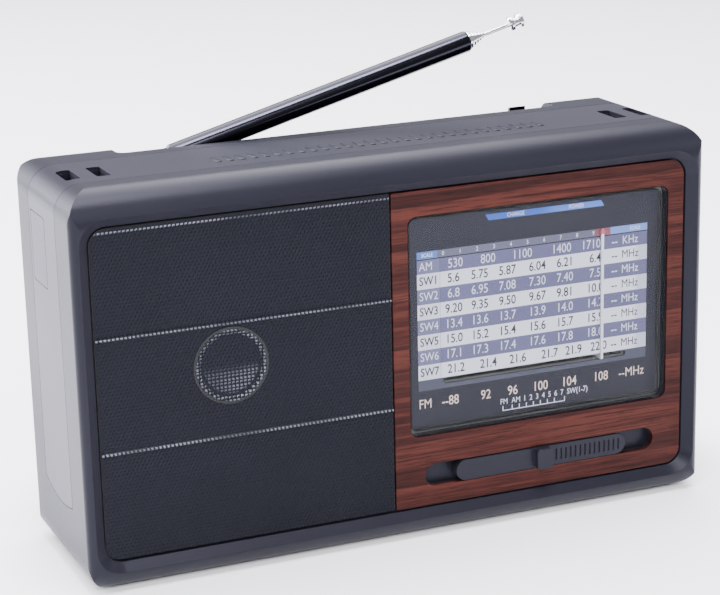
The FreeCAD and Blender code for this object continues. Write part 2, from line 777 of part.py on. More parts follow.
strap_boxes = common("strap_boxes", fuse("strap_box_pair", *strap_wells(
    "strap_box", 1.2, strap_low - 1.2, top - size.wall + CLEAR)), split_zone)
front_stock = fuse("front_stock", common("front_half", skin, split_zone), slot_pan, strap_boxes,
                   *bosses("front_boss", size.boss_radius, floor_back - CLEAR, split))
front_shell = cut("front_shell", front_stock, bezel_mouth(), panel_seat_block, window_hole, slot_hole,
                  tongue_slit, speaker_opening,
                  *strap_slots("front_strap", 0, top - size.wall - CLEAR, top + BEYOND),
                  *strap_wells("strap_well", 0, strap_low, top - size.wall),
                  *wheel_slots("front_wheel_slot"), phone_hole("front_phone", phone_nose + CLEAR),
                  *bosses("pilot", size.screw_radius, split - 12.0, split + CLEAR))

# Back shell: the back half, with the antenna groove, the battery bay, the inlet and the screw wells.
back_zone = cut("back_zone", box("back_reach", -half - BEYOND, half + BEYOND, front, back + BEYOND,
                                 dim(-BEYOND), top + BEYOND), split_zone)
groove_walls = common("groove_walls", outer_form, box(
    "groove_wall_block", -size.groove_left - size.groove_wall, size.groove_right + size.groove_wall,
    groove_near - size.groove_wall, back, groove_low - size.groove_wall, top))
antenna_groove = prism("antenna_groove", "Z", groove_low, top + BEYOND, round_box(
    -size.groove_left, size.groove_right, groove_near, back + 2 * BEYOND, dim(3.0)))
bay_tub = common("bay_tub", outer_form, box(
    "bay_tub_block", bay_left - size.bay_wall, bay_right + size.bay_wall, bay_near - size.bay_wall, back,
    size.bay_base - 1.2, bay_high + size.bay_wall))
door_low = size.bay_base - size.door_ledge
door_left = bay_left - size.door_ledge
door_right = bay_right + size.door_ledge
door_high = bay_high + size.door_ledge
door_form = case_form("door_form", size.door_thick + size.door_gap)
door_back_form = case_form("door_back_form", size.door_thick)


def door_block(name, margin):
    """The battery door's rounded oblong on the back."""
    return prism(name, "Y", back - 3 * BEYOND, back + BEYOND, round_box(
        door_left - margin, door_right + margin, door_low - margin, door_high + margin, dim(2.0)))


door_recess = cut("door_recess", door_block("door_recess_block", size.door_gap), door_form)
bay_hollow = box("bay_hollow", bay_left, bay_right, bay_near, back - size.wall - 5.0, size.bay_base, bay_high)
bay_mouth = box("bay_mouth", bay_left, bay_right, bay_near, back + BEYOND,
                door_low + size.door_ledge, bay_high)
inlet_left = size.inlet_across - size.inlet_width / 2
inlet_low = size.inlet_rise - size.inlet_height / 2
inlet_hole = prism("inlet_hole", "Y", back - 2 * size.wall, back + BEYOND, round_box(
    inlet_left - 2.0, inlet_left + size.inlet_width + 2.0,
    inlet_low - 2.0, inlet_low + size.inlet_height + 2.0, dim(3.0)))
vents = [prism(f"vent_{index}", "Y", back - 2 * size.wall, back + BEYOND, stadium(
    speaker_x - 24.0, speaker_x + 24.0, size.speaker_rise - 8.0 + index * 7.0, dim(1.2)))
    for index in range(6)]
seat_y = back - size.head_seat
swivel_bore = rod("swivel_bore", "Z", size.antenna_across, antenna_y, groove_low - size.groove_wall - 1.0,
                  size.post_swivel + size.swivel_gap, size.groove_wall + BEYOND)
back_stock = fuse("back_stock", common("back_half", skin, back_zone), groove_walls, bay_tub,
                  *bosses("back_boss", size.boss_radius, split, back - size.wall + CLEAR))
back_shell = cut("back_shell", back_stock, antenna_groove, bay_hollow, bay_mouth, door_recess, inlet_hole,
                 *vents, swivel_bore, *strap_slots("back_strap", 0, top - size.wall - CLEAR, top + BEYOND),
                 *bosses("screw_way", size.screw_radius + 0.3, split - CLEAR, back + BEYOND),
                 *bosses("head_way", size.screw_head + 0.3, seat_y, back + BEYOND))

door_plate = common("door_plate", cut("door_stock", outer_form, door_back_form),
                    door_block("door_outline", 0))
door_grips = [box(f"door_grip_{index}", -12.0, 12.0, back - 0.5, back + BEYOND,
                  door_high - 6.0 + index * 1.8, door_high - 5.1 + index * 1.8) for index in range(3)]
battery_door = cut("battery_door", door_plate, *door_grips)


# ---------------------------------------------------------------- front panels

wood = new_body("wood_panel")
wood_left = size.divider + size.joint_gap
wood_right = panel_right - size.panel_gap
pad(wood, "Y", panel_face, panel_seat, round_box(
    wood_left, wood_right, panel_low + size.panel_gap, panel_high - size.panel_gap,
    (dim(0.6), size.panel_round - size.panel_gap, size.panel_round - size.panel_gap, dim(0.6))))
pocket(wood, "Y", panel_face - 1.0, panel_seat + 1.0, round_box(
    window_left, window_right, window_low, window_high, size.window_round))
pocket(wood, "Y", panel_face - 1.0, panel_seat + 1.0, stadium(
    slot_left, slot_right, size.slot_rise, slot_radius))

grille = new_body("speaker_grille")
grille_left = panel_left + size.panel_gap
grille_right = size.divider - size.joint_gap
pad(grille, "Y", panel_face + 0.4, panel_seat, round_box(
    grille_left, grille_right, panel_low + size.panel_gap, panel_high - size.panel_gap,
    (size.panel_round - size.panel_gap, dim(0.6), dim(0.6), size.panel_round - size.panel_gap)))
for rise in (size.emboss_low, size.emboss_high):
    pad(grille, "Y", panel_face + 0.4 - size.emboss_proud, panel_face + 0.5, stadium(
        grille_left + 1.5, grille_right - 1.0, rise, dim(0.6)))


def ring_outline(across, up, radius, breadth):
    """Two circles about one centre."""
    def draw(sketch):
        circle(across, up, radius + breadth / 2)(sketch)
        circle(across, up, radius - breadth / 2)(sketch)
    return draw


pad(grille, "Y", panel_face + 0.4 - size.emboss_proud, panel_face + 0.5, ring_outline(
    size.divider - size.ring_across, size.ring_rise, size.ring_radius, dim(1.6)))

lens = new_body("dial_lens")
lens_left = window_left + size.lens_gap
lens_right = window_right - size.lens_gap
lens_low = window_low + size.lens_gap
lens_high = window_high - size.lens_gap
lens_face = panel_face + size.lens_sink
pad(lens, "Y", lens_face, floor_back + 0.1, round_box(
    lens_left, lens_right, lens_low, lens_high, size.window_round - size.lens_gap))
pad(lens, "Y", floor_back, chassis_near, round_box(
    window_left - size.lens_lip, window_right + size.lens_lip,
    window_low - size.lens_lip, window_high + size.lens_lip, size.window_round))
pocket(lens, "Y", lens_face + size.lens_pane, chassis_near + 1.0, round_box(
    lens_left + size.lens_wall, lens_right - size.lens_wall,
    lens_low + size.lens_wall, lens_high - size.lens_wall, size.window_round - size.lens_gap - size.lens_wall))

dial_left = lens_left + size.lens_wall + size.dial_gap
dial_right = lens_right - size.lens_wall - size.dial_gap
slot_low = size.needle_slot_base
needle_way = stadium(dial_left + size.needle_slot_inset, dial_right - size.needle_slot_inset,
                     slot_low + size.needle_slot_height / 2, size.needle_slot_height / 2)
dial = new_body("dial_plate")
pad(dial, "Y", floor_back, chassis_near, round_box(
    dial_left, dial_right, lens_low + size.lens_wall + size.dial_gap,
    lens_high - size.lens_wall - size.dial_gap, dim(1.0)))
pocket(dial, "Y", floor_back - 1.0, chassis_near + 1.0, needle_way)

# ---------------------------------------------------------------- tuning train

post_spots = [
    (size.divider + 11.0, window_high - 2.5), (drum_x + size.drum_radius + 7.0, window_high - 2.5),
    (size.divider + 10.0, size.board_base + 2.3), (right_pulley_x - 1.7, size.board_base + 2.3),
]
chassis = new_body("chassis_plate")
pad(chassis, "Y", chassis_near, chassis_back, round_box(
    window_left - size.lens_lip, window_right + size.lens_lip,
    window_low - size.lens_lip, window_high + size.lens_lip, dim(2.0)))
for across, up in post_spots:
    pad(chassis, "Y", chassis_back - 0.2, board_near, circle(across, up, size.post_radius))
    pocket(chassis, "Y", board_near - 6.0, board_near + 1.0, circle(across, up, size.post_hole))
for across in (left_pulley_x, right_pulley_x):
    pad(chassis, "Y", chassis_back - 0.2, cord_plane - 1.6, circle(across, size.pulley_rise, dim(2.2)))
    pad(chassis, "Y", chassis_back - 0.2, cord_plane + 2.0, circle(across, size.pulley_rise, dim(1.0)))
rail_y = chassis_back + size.rail_behind
rail_z = slot_low + size.needle_slot_height / 2 - 5.5
rail_left = dial_left + 6.0
rail_right = post_spots[3][0] + 1.2
for left in (rail_left, rail_right - 3.0):
    pad(chassis, "X", left, left + 3.0, round_box(
        chassis_back - 0.2, rail_y + size.rail_radius + 1.2, rail_z - 2.4, rail_z + 2.4, dim(0.5)))
    pocket(chassis, "X", left - 0.5, left + 3.5, circle(rail_y, rail_z, size.rail_radius))
pocket(chassis, "Y", chassis_near - 1.0, chassis_back + 1.0, needle_way)
for across in (size.divider + size.charge_lamp_across, size.divider + size.power_lamp_across):
    pocket(chassis, "Y", chassis_near - 1.0, chassis_back + 1.0, circle(
        across, size.lamp_rise, size.lamp_radius + 0.1))

pointer_rail = rod("pointer_rail", "X", rail_left, rail_y, rail_z, size.rail_radius, rail_right - rail_left)

needle_y = floor_back - 1.1
pointer = new_body("dial_pointer")
half_needle = size.needle_width / 2
pad(pointer, "Y", needle_y, needle_y + 0.6, round_box(
    needle_x - half_needle, needle_x + half_needle,
    size.needle_base, size.needle_base + size.needle_length, half_needle * 0.8))
pad(pointer, "Y", needle_y + 0.3, rail_y, round_box(
    needle_x - half_needle, needle_x + half_needle,
    slot_low + CLEAR, slot_low + size.needle_slot_height - CLEAR, dim(0.2)))
sleeve_radius = size.rail_radius + 1.1
sleeve_half = 4.0
pad(pointer, "X", needle_x - sleeve_half, needle_x + sleeve_half, circle(rail_y, rail_z, sleeve_radius))
pad(pointer, "Y", chassis_back + 0.6, rail_y, round_box(
    needle_x - half_needle, needle_x + half_needle, rail_z, slot_low + size.needle_slot_height - CLEAR,
    dim(0.2)))
pocket(pointer, "X", needle_x - sleeve_half - 1.0, needle_x + sleeve_half + 1.0, circle(
    rail_y, rail_z, size.rail_radius + size.running_gap))


def grooved_wheel(name, line_radius, thick, flange, bore, parts=()):
    """A wheel whose rim holds the dial cord, about its own Z axis, centred on the cord."""
    floor_radius = line_radius - size.cord_radius - size.groove_slack
    rim = line_radius + flange
    half_thick = thick / 2
    half_floor = size.cord_radius + size.groove_slack
    wheel = new_body(name)
    turn(wheel, (
        (bore, -half_thick), (rim, -half_thick), (floor_radius, -half_floor), (floor_radius, half_floor),
        (rim, half_thick), (bore, half_thick)) + tuple(parts))
    return wheel


drum = grooved_wheel("cord_drum", size.drum_radius, dim(3.6), dim(1.2), dim(2.0))
drum_spokes = pocket(drum, "Z", -dim(4.0), dim(4.0), circle(
    size.drum_radius * 0.55, dim(0), size.drum_radius * 0.24))
ring_pattern(drum, drum_spokes, 5)
place(drum, "-Y", drum_x, cord_plane, size.drum_rise)

pulley_bodies = []
for label, across in (("left", left_pulley_x), ("right", right_pulley_x)):
    pulley = grooved_wheel(f"{label}_pulley", size.pulley_radius, dim(2.4), dim(0.9),
                           dim(1.0) + size.running_gap)
    pulley_bodies.append(place(pulley, "-Y", across, cord_plane, size.pulley_rise))

capacitor_near = cord_plane + 3.0
capacitor = new_body("tuning_capacitor")
pad(capacitor, "Y", capacitor_near, board_near, round_box(
    drum_x - 10.0, drum_x + 10.0, size.drum_rise - 10.0, size.drum_rise + 10.0, dim(1.0)))
pad(capacitor, "Y", cord_plane - 2.4, capacitor_near + 0.2, circle(
    drum_x, size.drum_rise, dim(2.0) - size.running_gap))

tuning = new_body("tuning_wheel")
hub_floor = size.hub_radius - size.cord_radius - size.groove_slack
half_floor = size.cord_radius + size.groove_slack
wheel_gap = wheel_near - cord_plane
axle_radius = dim(1.5)
turn(tuning, (
    (axle_radius + size.running_gap, -wheel_gap - size.tuning_thick),
    (size.tuning_radius - 0.8, -wheel_gap - size.tuning_thick),
    (size.tuning_radius, -wheel_gap - size.tuning_thick + 0.8),
    (size.tuning_radius, -wheel_gap - 0.8),
    (size.tuning_radius - 0.8, -wheel_gap),
    (size.hub_radius + 0.8, -wheel_gap),
    (size.hub_radius + 0.8, dim(-1.2)),
    (hub_floor, -half_floor),
    (hub_floor, half_floor),
    (size.hub_radius + 0.8, dim(1.2)),
    (axle_radius + size.running_gap, dim(1.2))))
knurl = pocket(tuning, "Z", -wheel_gap - size.tuning_thick - 1.0, -wheel_gap + 1.0, circle(
    size.tuning_radius + 0.25, dim(0), dim(0.7)))
ring_pattern(tuning, knurl, 48)
place(tuning, "-Y", tuning_x, cord_plane, size.tuning_rise)

tuning_axle = new_body("tuning_axle")
turn(tuning_axle, (
    (dim(0), dim(1.4) + 0.8), (dim(2.4), dim(1.4) + 0.8), (dim(2.4), dim(1.4)), (axle_radius, dim(1.4)),
    (axle_radius, -(board_near - cord_plane)), (dim(0), -(board_near - cord_plane))))
place(tuning_axle, "-Y", tuning_x, cord_plane, size.tuning_rise)

volume = new_body("volume_wheel")
turn(volume, (
    (dim(0), dim(0)), (size.volume_radius - 0.8, dim(0)), (size.volume_radius, dim(0.8)),
    (size.volume_radius, size.volume_thick - 0.8), (size.volume_radius - 0.8, size.volume_thick),
    (dim(1.5), size.volume_thick), (dim(1.5), board_near - wheel_near - 0.4),
    (dim(0), board_near - wheel_near - 0.4)))
volume_knurl = pocket(volume, "Z", dim(-1.0), size.volume_thick + 1.0, circle(
    size.volume_radius + 0.25, dim(0), dim(0.7)))
ring_pattern(volume, volume_knurl, 36)
place(volume, "Y", volume_x, wheel_near, size.volume_rise)
pot = new_body("volume_pot")
pot_depth = board_near - wheel_near - size.volume_thick - 0.4
turn(pot, (
    (dim(1.5) + size.running_gap, -pot_depth), (dim(6.8), -pot_depth), (dim(6.8), dim(0)),
    (dim(1.5) + size.running_gap, dim(0))))
place(pot, "Y", volume_x, board_near, size.volume_rise)


def cord_path():
    """The dial cord's closed loop: lines and arcs round the drum, the hub and both pulleys."""
    wheels = [
        (left_pulley_x, size.pulley_rise, size.pulley_radius),
        (right_pulley_x, size.pulley_rise, size.pulley_radius),
        (tuning_x, size.tuning_rise, size.hub_radius),
        (drum_x, size.drum_rise, size.drum_radius),
    ]
    wheels = [tuple(float(value) for value in wheel) for wheel in wheels]
    normals = []
    for index, (across, up, radius) in enumerate(wheels):
        next_across, next_up, next_radius = wheels[(index + 1) % len(wheels)]
        run = math.hypot(next_across - across, next_up - up)
        heading = math.atan2(next_up - up, next_across - across)
        normals.append(heading - math.pi / 2 + math.asin((next_radius - radius) / run) * -1)
    depth = float(cord_plane)
    edges = []
    for index, (across, up, radius) in enumerate(wheels):
        def rim(angle, wheel=(across, up, radius)):
            return Vector(wheel[0] + wheel[2] * math.cos(angle), depth, wheel[1] + wheel[2] * math.sin(angle))
        arrive = normals[index - 1]
        leave = normals[index]
        while leave < arrive:
            leave += 2 * math.pi
        edges.append(Part.Arc(rim(arrive), rim((arrive + leave) / 2), rim(leave)).toShape())
        following = wheels[(index + 1) % len(wheels)]
        landing = Vector(following[0] + following[2] * math.cos(normals[index]), depth,
                         following[1] + following[2] * math.sin(normals[index]))
        edges.append(Part.LineSegment(rim(leave), landing).toShape())
    return Part.Wire(edges)


cord_line = cord_path()
start_edge = cord_line.OrderedEdges[1]
section = Part.Wire(Part.Circle(start_edge.valueAt(start_edge.FirstParameter),
                                start_edge.tangentAt(start_edge.FirstParameter),
                                float(size.cord_radius)).toShape())
cord = doc.addObject("Part::Feature", "dial_cord")
cord.Shape = cord_line.makePipeShell([section], True, True)

# ---------------------------------------------------------------- band selector

slider = new_body("band_slider")
slider_left = slot_middle - size.slider_length / 2
slider_right = slot_middle + size.slider_length / 2
slider_radius = size.slider_height / 2
slider_face = panel_face - size.slider_proud
pad(slider, "Y", slider_face, pan_floor - 0.2, stadium(slider_left, slider_right, size.slot_rise, slider_radius))
tab_half = size.slider_tab / 2
pad(slider, "Y", panel_face - size.slider_tab_proud, slider_face + 0.2, round_box(
    slot_middle - tab_half, slot_middle + tab_half, size.slot_rise - slider_radius,
    size.slot_rise + slider_radius, dim(1.2)))
rib_pitch = 1.8
rib_count = 14
for index in range(rib_count):
    middle = slot_middle + tab_half + 2.4 + index * rib_pitch
    pocket(slider, "Y", slider_face - 0.1, slider_face + 0.45, round_box(
        middle - 0.35, middle + 0.35, size.slot_rise - slider_radius * 0.55,
        size.slot_rise + slider_radius * 0.55, dim(0.2)))
switch_near = pan_back + 1.0
pad(slider, "Y", pan_floor - 0.4, switch_near + 3.0, round_box(
    slot_middle - 2.0, slot_middle + 2.0, size.slot_rise - 0.8, size.slot_rise + 0.8, dim(0.3)))

switch = new_body("band_switch")
pad(switch, "Y", switch_near, switch_near + 9.0, round_box(
    slot_middle - 26.0, slot_middle + 26.0, size.slot_rise - 5.0, size.slot_rise + 5.0, dim(0.6)))
pocket(switch, "Y", switch_near - 1.0, switch_near + 4.0, stadium(
    slot_middle - size.slider_stroke - 3.5, slot_middle + size.slider_stroke + 3.5, size.slot_rise, dim(1.3)))

# ---------------------------------------------------------------- electronics

board = new_body("main_board")
board_left = size.divider + size.board_left_gap
board_right = half - size.board_side_gap
board_high = top - size.board_top_gap
pad(board, "Y", board_near, board_far, round_box(
    board_left, board_right, size.board_base, board_high, dim(1.5)))
doc.recompute()
for across, up in boss_spots[1:2]:
    pocket(board, "Y", board_near - 1.0, board_far + 1.0, circle(across, up, size.boss_radius + 0.6))
for across, up in post_spots:
    pocket(board, "Y", board_near - 1.0, board_far + 1.0, circle(across, up, size.post_hole + 0.2))

screws = []
for index, (across, up) in enumerate(post_spots):
    screws.append(fuse(f"board_screw_{index}",
                       rod(f"board_screw_shank_{index}", "Y", across, board_near - 5.0, up,
                           size.post_hole, size.board_thick + 5.0),
                       rod(f"board_screw_head_{index}", "Y", across, board_far, up, dim(2.0), dim(1.4))))
board_screws = fuse("board_screws", *screws)

screws = []
for index, (across, up) in enumerate(boss_spots):
    screws.append(fuse(f"case_screw_{index}",
                       rod(f"case_screw_shank_{index}", "Y", across, seat_y - size.screw_length, up,
                           size.screw_radius, size.screw_length),
                       rod(f"case_screw_head_{index}", "Y", across, seat_y, up, size.screw_head,
                           size.head_thick)))
case_screws = fuse("case_screws", *screws)

lamps = []
for label, across in (("charge", size.charge_lamp_across), ("power", size.power_lamp_across)):
    lamps.append(rod(f"{label}_lamp", "Y", size.divider + across, chassis_near, size.lamp_rise,
                     size.lamp_radius, board_near - chassis_near))
led_lamps = fuse("led_lamps", *lamps)

ferrite_y = board_far + size.ferrite_behind
ferrite_z = top - size.ferrite_drop
ferrite_left = board_left + 8.0
ferrite_rod = rod("ferrite_rod", "X", ferrite_left, ferrite_y, ferrite_z, size.ferrite_radius,
                  size.ferrite_length)
coil = new_body("antenna_coil")
turn(coil, (
    (size.ferrite_radius, dim(0)), (size.ferrite_radius + 0.9, dim(0)), (size.ferrite_radius + 0.9, dim(14)),
    (size.ferrite_radius, dim(14))))
place(coil, "X", ferrite_left + 12.0, ferrite_y, ferrite_z)
holders = []
for index in range(2):
    left = ferrite_left + 4.0 + index * (size.ferrite_length - 12.0)
    stand = box(f"holder_stand_{index}", left, left + 4.0, board_far, ferrite_y, ferrite_z - 3.0,
                ferrite_z + 3.0)
    collar = rod(f"holder_collar_{index}", "X", left, ferrite_y, ferrite_z, size.ferrite_radius + 1.4, dim(4.0))
    holders.append(fuse(f"holder_{index}", stand, collar))
rod_holders = cut("rod_holders", fuse("holder_pair", *holders), rod(
    "holder_bore", "X", ferrite_left - 1.0, ferrite_y, ferrite_z, size.ferrite_radius,
    size.ferrite_length + 2.0))

# Loudspeaker, about its own axis: rim at zero, magnet towards the back.
speaker_seat = floor_back
frame_back = size.speaker_depth
throat = size.magnet_radius + 1.5
basket = new_body("speaker_frame")
turn(basket, (
    (size.speaker_radius - 4.5, dim(0)), (size.speaker_radius, dim(0)), (size.speaker_radius, dim(1.2)),
    (size.speaker_radius - 3.6, dim(1.2)), (throat, frame_back), (dim(12.5), frame_back),
    (dim(12.5), frame_back - 1.0), (throat - 0.6, frame_back - 1.0), (size.speaker_radius - 4.5, dim(1.0))))
window = pocket(basket, "Z", dim(2.0), frame_back - 2.0, circle(
    (size.speaker_radius + throat) / 2, dim(0), dim(6.0)))
ring_pattern(basket, window, 8)
place(basket, "Y", speaker_x, speaker_seat, size.speaker_rise)
cone = new_body("speaker_cone")
turn(cone, (
    (dim(0), dim(6.0)), (dim(9.0), dim(8.6)), (size.speaker_radius - 7.0, dim(1.4)),
    (size.speaker_radius - 5.0, dim(0.4)), (size.speaker_radius - 4.6, dim(0.4)),
    (size.speaker_radius - 4.6, dim(0.9)), (size.speaker_radius - 7.0, dim(2.0)), (dim(9.2), dim(9.3)),
    (dim(9.2), frame_back), (dim(8.6), frame_back), (dim(8.6), dim(9.4)), (dim(0), dim(6.7))))
place(cone, "Y", speaker_x, speaker_seat, size.speaker_rise)
magnet = new_body("speaker_magnet")
turn(magnet, (
    (dim(9.8), frame_back), (size.magnet_radius, frame_back),
    (size.magnet_radius, frame_back + size.magnet_thick - 2.5),
    (size.magnet_radius - 1.5, frame_back + size.magnet_thick - 2.5),
    (size.magnet_radius - 1.5, frame_back + size.magnet_thick),
    (dim(0), frame_back + size.magnet_thick), (dim(0), frame_back + size.magnet_thick - 2.5),
    (dim(9.8), frame_back + size.magnet_thick - 2.5)))
place(magnet, "Y", speaker_x, speaker_seat, size.speaker_rise)

# Mains transformer on the roof of the battery bay, and the two-pin inlet in the back.
roof = bay_high + size.bay_wall
transformer_core = box("transformer_core", 22.0, 54.0, back - size.wall - 24.0, back - size.wall - 8.0, roof,
                       roof + 27.0)
transformer_coil = box("transformer_coil", 29.0, 47.0, back - size.wall - 27.5, back - size.wall - 4.5,
                       roof + 5.0, roof + 22.0)
transformer = fuse("transformer", transformer_core, transformer_coil)

inlet = new_body("mains_inlet")
inlet_right = inlet_left + size.inlet_width
inlet_high = inlet_low + size.inlet_height
inlet_floor = back - size.inlet_depth
inlet_round = size.inlet_height / 2 - 0.2
pad(inlet, "Y", inlet_floor - 4.0, back - 0.3, round_box(
    inlet_left - 1.7, inlet_right + 1.7, inlet_low - 1.7, inlet_high + 1.7, dim(2.7)))
pocket(inlet, "Y", inlet_floor, back + 1.0, round_box(
    inlet_left, inlet_right, inlet_low, inlet_high, inlet_round))
for side in (-1, 1):
    pad(inlet, "Y", inlet_floor - 0.2, back - 5.0, circle(
        size.inlet_across + side * 4.3, size.inlet_rise, dim(1.15)))

phone = new_body("earphone_socket")
turn(phone, (
    (size.phone_bore, dim(0)), (phone_nose, dim(0)), (phone_nose, -size.wall - 0.2),
    (dim(4.0), -size.wall - 0.2), (dim(4.0), -size.phone_depth), (size.phone_bore, -size.phone_depth)))
place(phone, "X", half, front + size.phone_start, size.phone_rise)

terminals = new_body("battery_terminals")
pad(terminals, "X", bay_left, bay_left + 0.5, round_box(
    bay_near + 6.0, bay_far - 6.0, size.bay_base + 6.0, bay_high - 6.0, dim(2.0)))
pad(terminals, "X", bay_left + 0.3, bay_left + 1.6, circle(
    (bay_near + bay_far) / 2, (size.bay_base + bay_high) / 2, dim(4.5)))
leaf = 0.5
leaf_half = 5.0
bay_middle = (bay_near + bay_far) / 2
spring_seat = bay_right - 0.1
spring_foot = size.bay_base + 6.0
spring_head = bay_high - 6.0
spring_crown = (size.bay_base + bay_high) / 2
spring = new_body("battery_spring")
pad(spring, "Y", bay_middle - leaf_half, bay_middle + leaf_half, polygon(
    (spring_seat, spring_foot), (spring_seat, spring_head), (spring_seat - leaf - 0.3, spring_head),
    (spring_seat - 8.0, spring_crown), (spring_seat - 1.6, spring_foot + 2.5),
    (spring_seat - 1.2, spring_foot + 2.8), (spring_seat - 7.4, spring_crown),
    (spring_seat - leaf, spring_head - 0.45), (spring_seat - leaf, spring_foot)))

# ---------------------------------------------------------------- telescopic antenna

fork_half = size.fork_gap / 2 + size.fork_ear
fork = new_body("antenna_fork")
base_drop = antenna_z - groove_low
ear_middle = size.fork_radius * 0.78
pad(fork, "Z", -base_drop + 0.1, -ear_middle - 0.2, circle(dim(0), dim(0), fork_half + 0.6))
pad(fork, "Z", -base_drop - size.groove_wall - 2.2, -base_drop + 0.3, circle(dim(0), dim(0), size.post_swivel))


def ear_outline(radius, reach):
    """A lug with a half-round end about the rivet and straight sides that run on to a level reach."""
    down = float(reach) < 0
    begin, finish = (0, 180) if down else (180, 360)
    first_side, second_side = (-radius, radius) if down else (radius, -radius)

    def draw(sketch):
        head = arc(sketch, dim(0), dim(0), radius, begin, finish)
        away = sketch.addGeometry(Part.LineSegment(spot(first_side, 0), spot(first_side, reach)), False)
        foot = sketch.addGeometry(Part.LineSegment(spot(first_side, reach), spot(second_side, reach)), False)
        home = sketch.addGeometry(Part.LineSegment(spot(second_side, reach), spot(second_side, 0)), False)
        sketch.addConstraint(Sketcher.Constraint("Horizontal", head, 3, head, 1))
        sketch.addConstraint(Sketcher.Constraint("Horizontal", head, 3, head, 2))
        pin(sketch, foot, 1, first_side, reach)
        pin(sketch, home, 1, second_side, reach)
        for first_curve, second_curve in ((head, away), (away, foot), (foot, home), (home, head)):
            join(sketch, first_curve, second_curve)
    return draw


ear = ear_outline(ear_middle, -base_drop + 0.6)
pad(fork, "Y", -fork_half, -size.fork_gap / 2, ear)
pad(fork, "Y", size.fork_gap / 2, fork_half, ear)
pocket(fork, "Y", -fork_half - 1.0, fork_half + 1.0, circle(dim(0), dim(0), size.rivet_radius))
place(fork, "Z", size.antenna_across, antenna_y, antenna_z)

rivet = new_body("antenna_rivet")
turn(rivet, (
    (dim(0), -fork_half - 0.6), (dim(1.5), -fork_half - 0.6), (dim(1.9), -fork_half),
    (size.rivet_radius, -fork_half), (size.rivet_radius, fork_half), (dim(1.9), fork_half),
    (dim(1.5), fork_half + 0.6), (dim(0), fork_half + 0.6)))
place(rivet, "Y", size.antenna_across, antenna_y, antenna_z)

washer = new_body("swivel_washer")
washer_top = groove_low - size.groove_wall - 0.1
turn(washer, (
    (size.post_swivel, dim(0)), (dim(4.0), dim(0)), (dim(4.0), dim(-1.2)), (size.post_swivel, dim(-1.2))))
place(washer, "Z", size.antenna_across, antenna_y, washer_top)


def along_antenna(body):
    """Lay a body's own Z axis along the raised antenna, from its pivot."""
    place(body, "X", size.antenna_across, antenna_y, antenna_z)
    body.Placement.Rotation = Rotation(Vector(0, 1, 0), 90 - float(size.antenna_tilt))
    bind(body, "Placement.Rotation.Angle", 90 - size.antenna_tilt)
    return body


def tube_outline(radius, start, stop, bore, tail):
    """Half the section of a tube with a rolled mouth and, but for the first, a swollen tail."""
    inner = radius - size.tube_wall
    lip = dim(1.0)
    points = [(inner, start)]
    if tail is not None:
        swell = dim(4.0)
        points += [(tail, start), (tail, start + swell), (radius, start + swell + 0.4)]
    else:
        points += [(radius, start)]
    points += [(radius, stop - 0.5), (radius - 0.25, stop), (bore, stop), (bore, stop - lip),
               (inner, stop - lip - 0.3)]
    return points


first = new_body("antenna_tube_1")
first_end = size.tube_start + size.tube_length
tongue_half = size.fork_gap / 2 - 0.1
TUBES = 6
radii = [size.tube_radius - index * size.tube_step for index in range(TUBES)]
collar_radius = size.tube_radius - 0.6
first_bore = radii[1] + size.running_gap
turn(first, (
    (dim(0), dim(5.0)), (collar_radius, dim(5.0)), (collar_radius, size.tube_start),
    (size.tube_radius, size.tube_start), (size.tube_radius, first_end - 0.5),
    (size.tube_radius - 0.25, first_end), (first_bore, first_end), (first_bore, first_end - 1.0),
    (size.tube_radius - size.tube_wall, first_end - 1.3), (size.tube_radius - size.tube_wall, dim(11.0)),
    (dim(0), dim(11.0))))
pad(first, "Y", -tongue_half, tongue_half, ear_outline(ear_middle - 0.2, dim(5.2)))
pocket(first, "Y", -tongue_half - 1.0, tongue_half + 1.0, circle(
    dim(0), dim(0), size.rivet_radius + size.running_gap))
along_antenna(first)

tubes = [first]
for index in range(1, TUBES):
    tube = new_body(f"antenna_tube_{index + 1}")
    begin = dim(12.0 + index)
    end = first_end + index * size.tube_lip
    tail = radii[index - 1] - size.tube_wall - size.running_gap
    following = radii[index + 1] if index + 1 < TUBES else size.rod_radius
    turn(tube, tube_outline(radii[index], begin, end, following + size.running_gap, tail))
    tubes.append(along_antenna(tube))

rod_end = first_end + (TUBES - 1) * size.tube_lip + size.rod_proud
inner_rod = new_body("antenna_rod")
turn(inner_rod, (
    (dim(0), dim(19.0)), (radii[-1] - size.tube_wall - size.running_gap, dim(19.0)),
    (radii[-1] - size.tube_wall - size.running_gap, dim(22.0)), (size.rod_radius, dim(22.5)),
    (size.rod_radius, rod_end + 1.0), (dim(0), rod_end + 1.0)))
along_antenna(inner_rod)
tip = new_body("antenna_tip")
waist = size.tip_radius * 0.62
turn(tip, (
    (size.rod_radius, rod_end), (size.tip_radius * 0.8, rod_end), (size.tip_radius, rod_end + 0.5),
    (size.tip_radius, rod_end + 1.4), (waist, rod_end + 2.0), (waist, rod_end + size.tip_length - 2.0),
    (size.tip_radius, rod_end + size.tip_length - 1.4), (size.tip_radius, rod_end + size.tip_length - 0.5),
    (size.tip_radius * 0.8, rod_end + size.tip_length), (dim(0), rod_end + size.tip_length),
    (dim(0), rod_end + 1.0), (size.rod_radius, rod_end + 1.0)))
along_antenna(tip)

clip_half = size.tip_radius + 0.5
clip_right = size.clip_left + size.clip_length
clip = new_body("antenna_clip")
clip_base = groove_low
pad(clip, "X", size.clip_left, clip_right, round_box(
    antenna_y - clip_half - size.clip_wall, antenna_y + clip_half + size.clip_wall, clip_base,
    top - 0.6, dim(1.0)))
pocket(clip, "X", size.clip_left - 1.0, clip_right + 1.0, round_box(
    antenna_y - clip_half, antenna_y + clip_half, antenna_z - clip_half, top + 4.0,
    (dim(2.0), dim(2.0), dim(0), dim(0))))

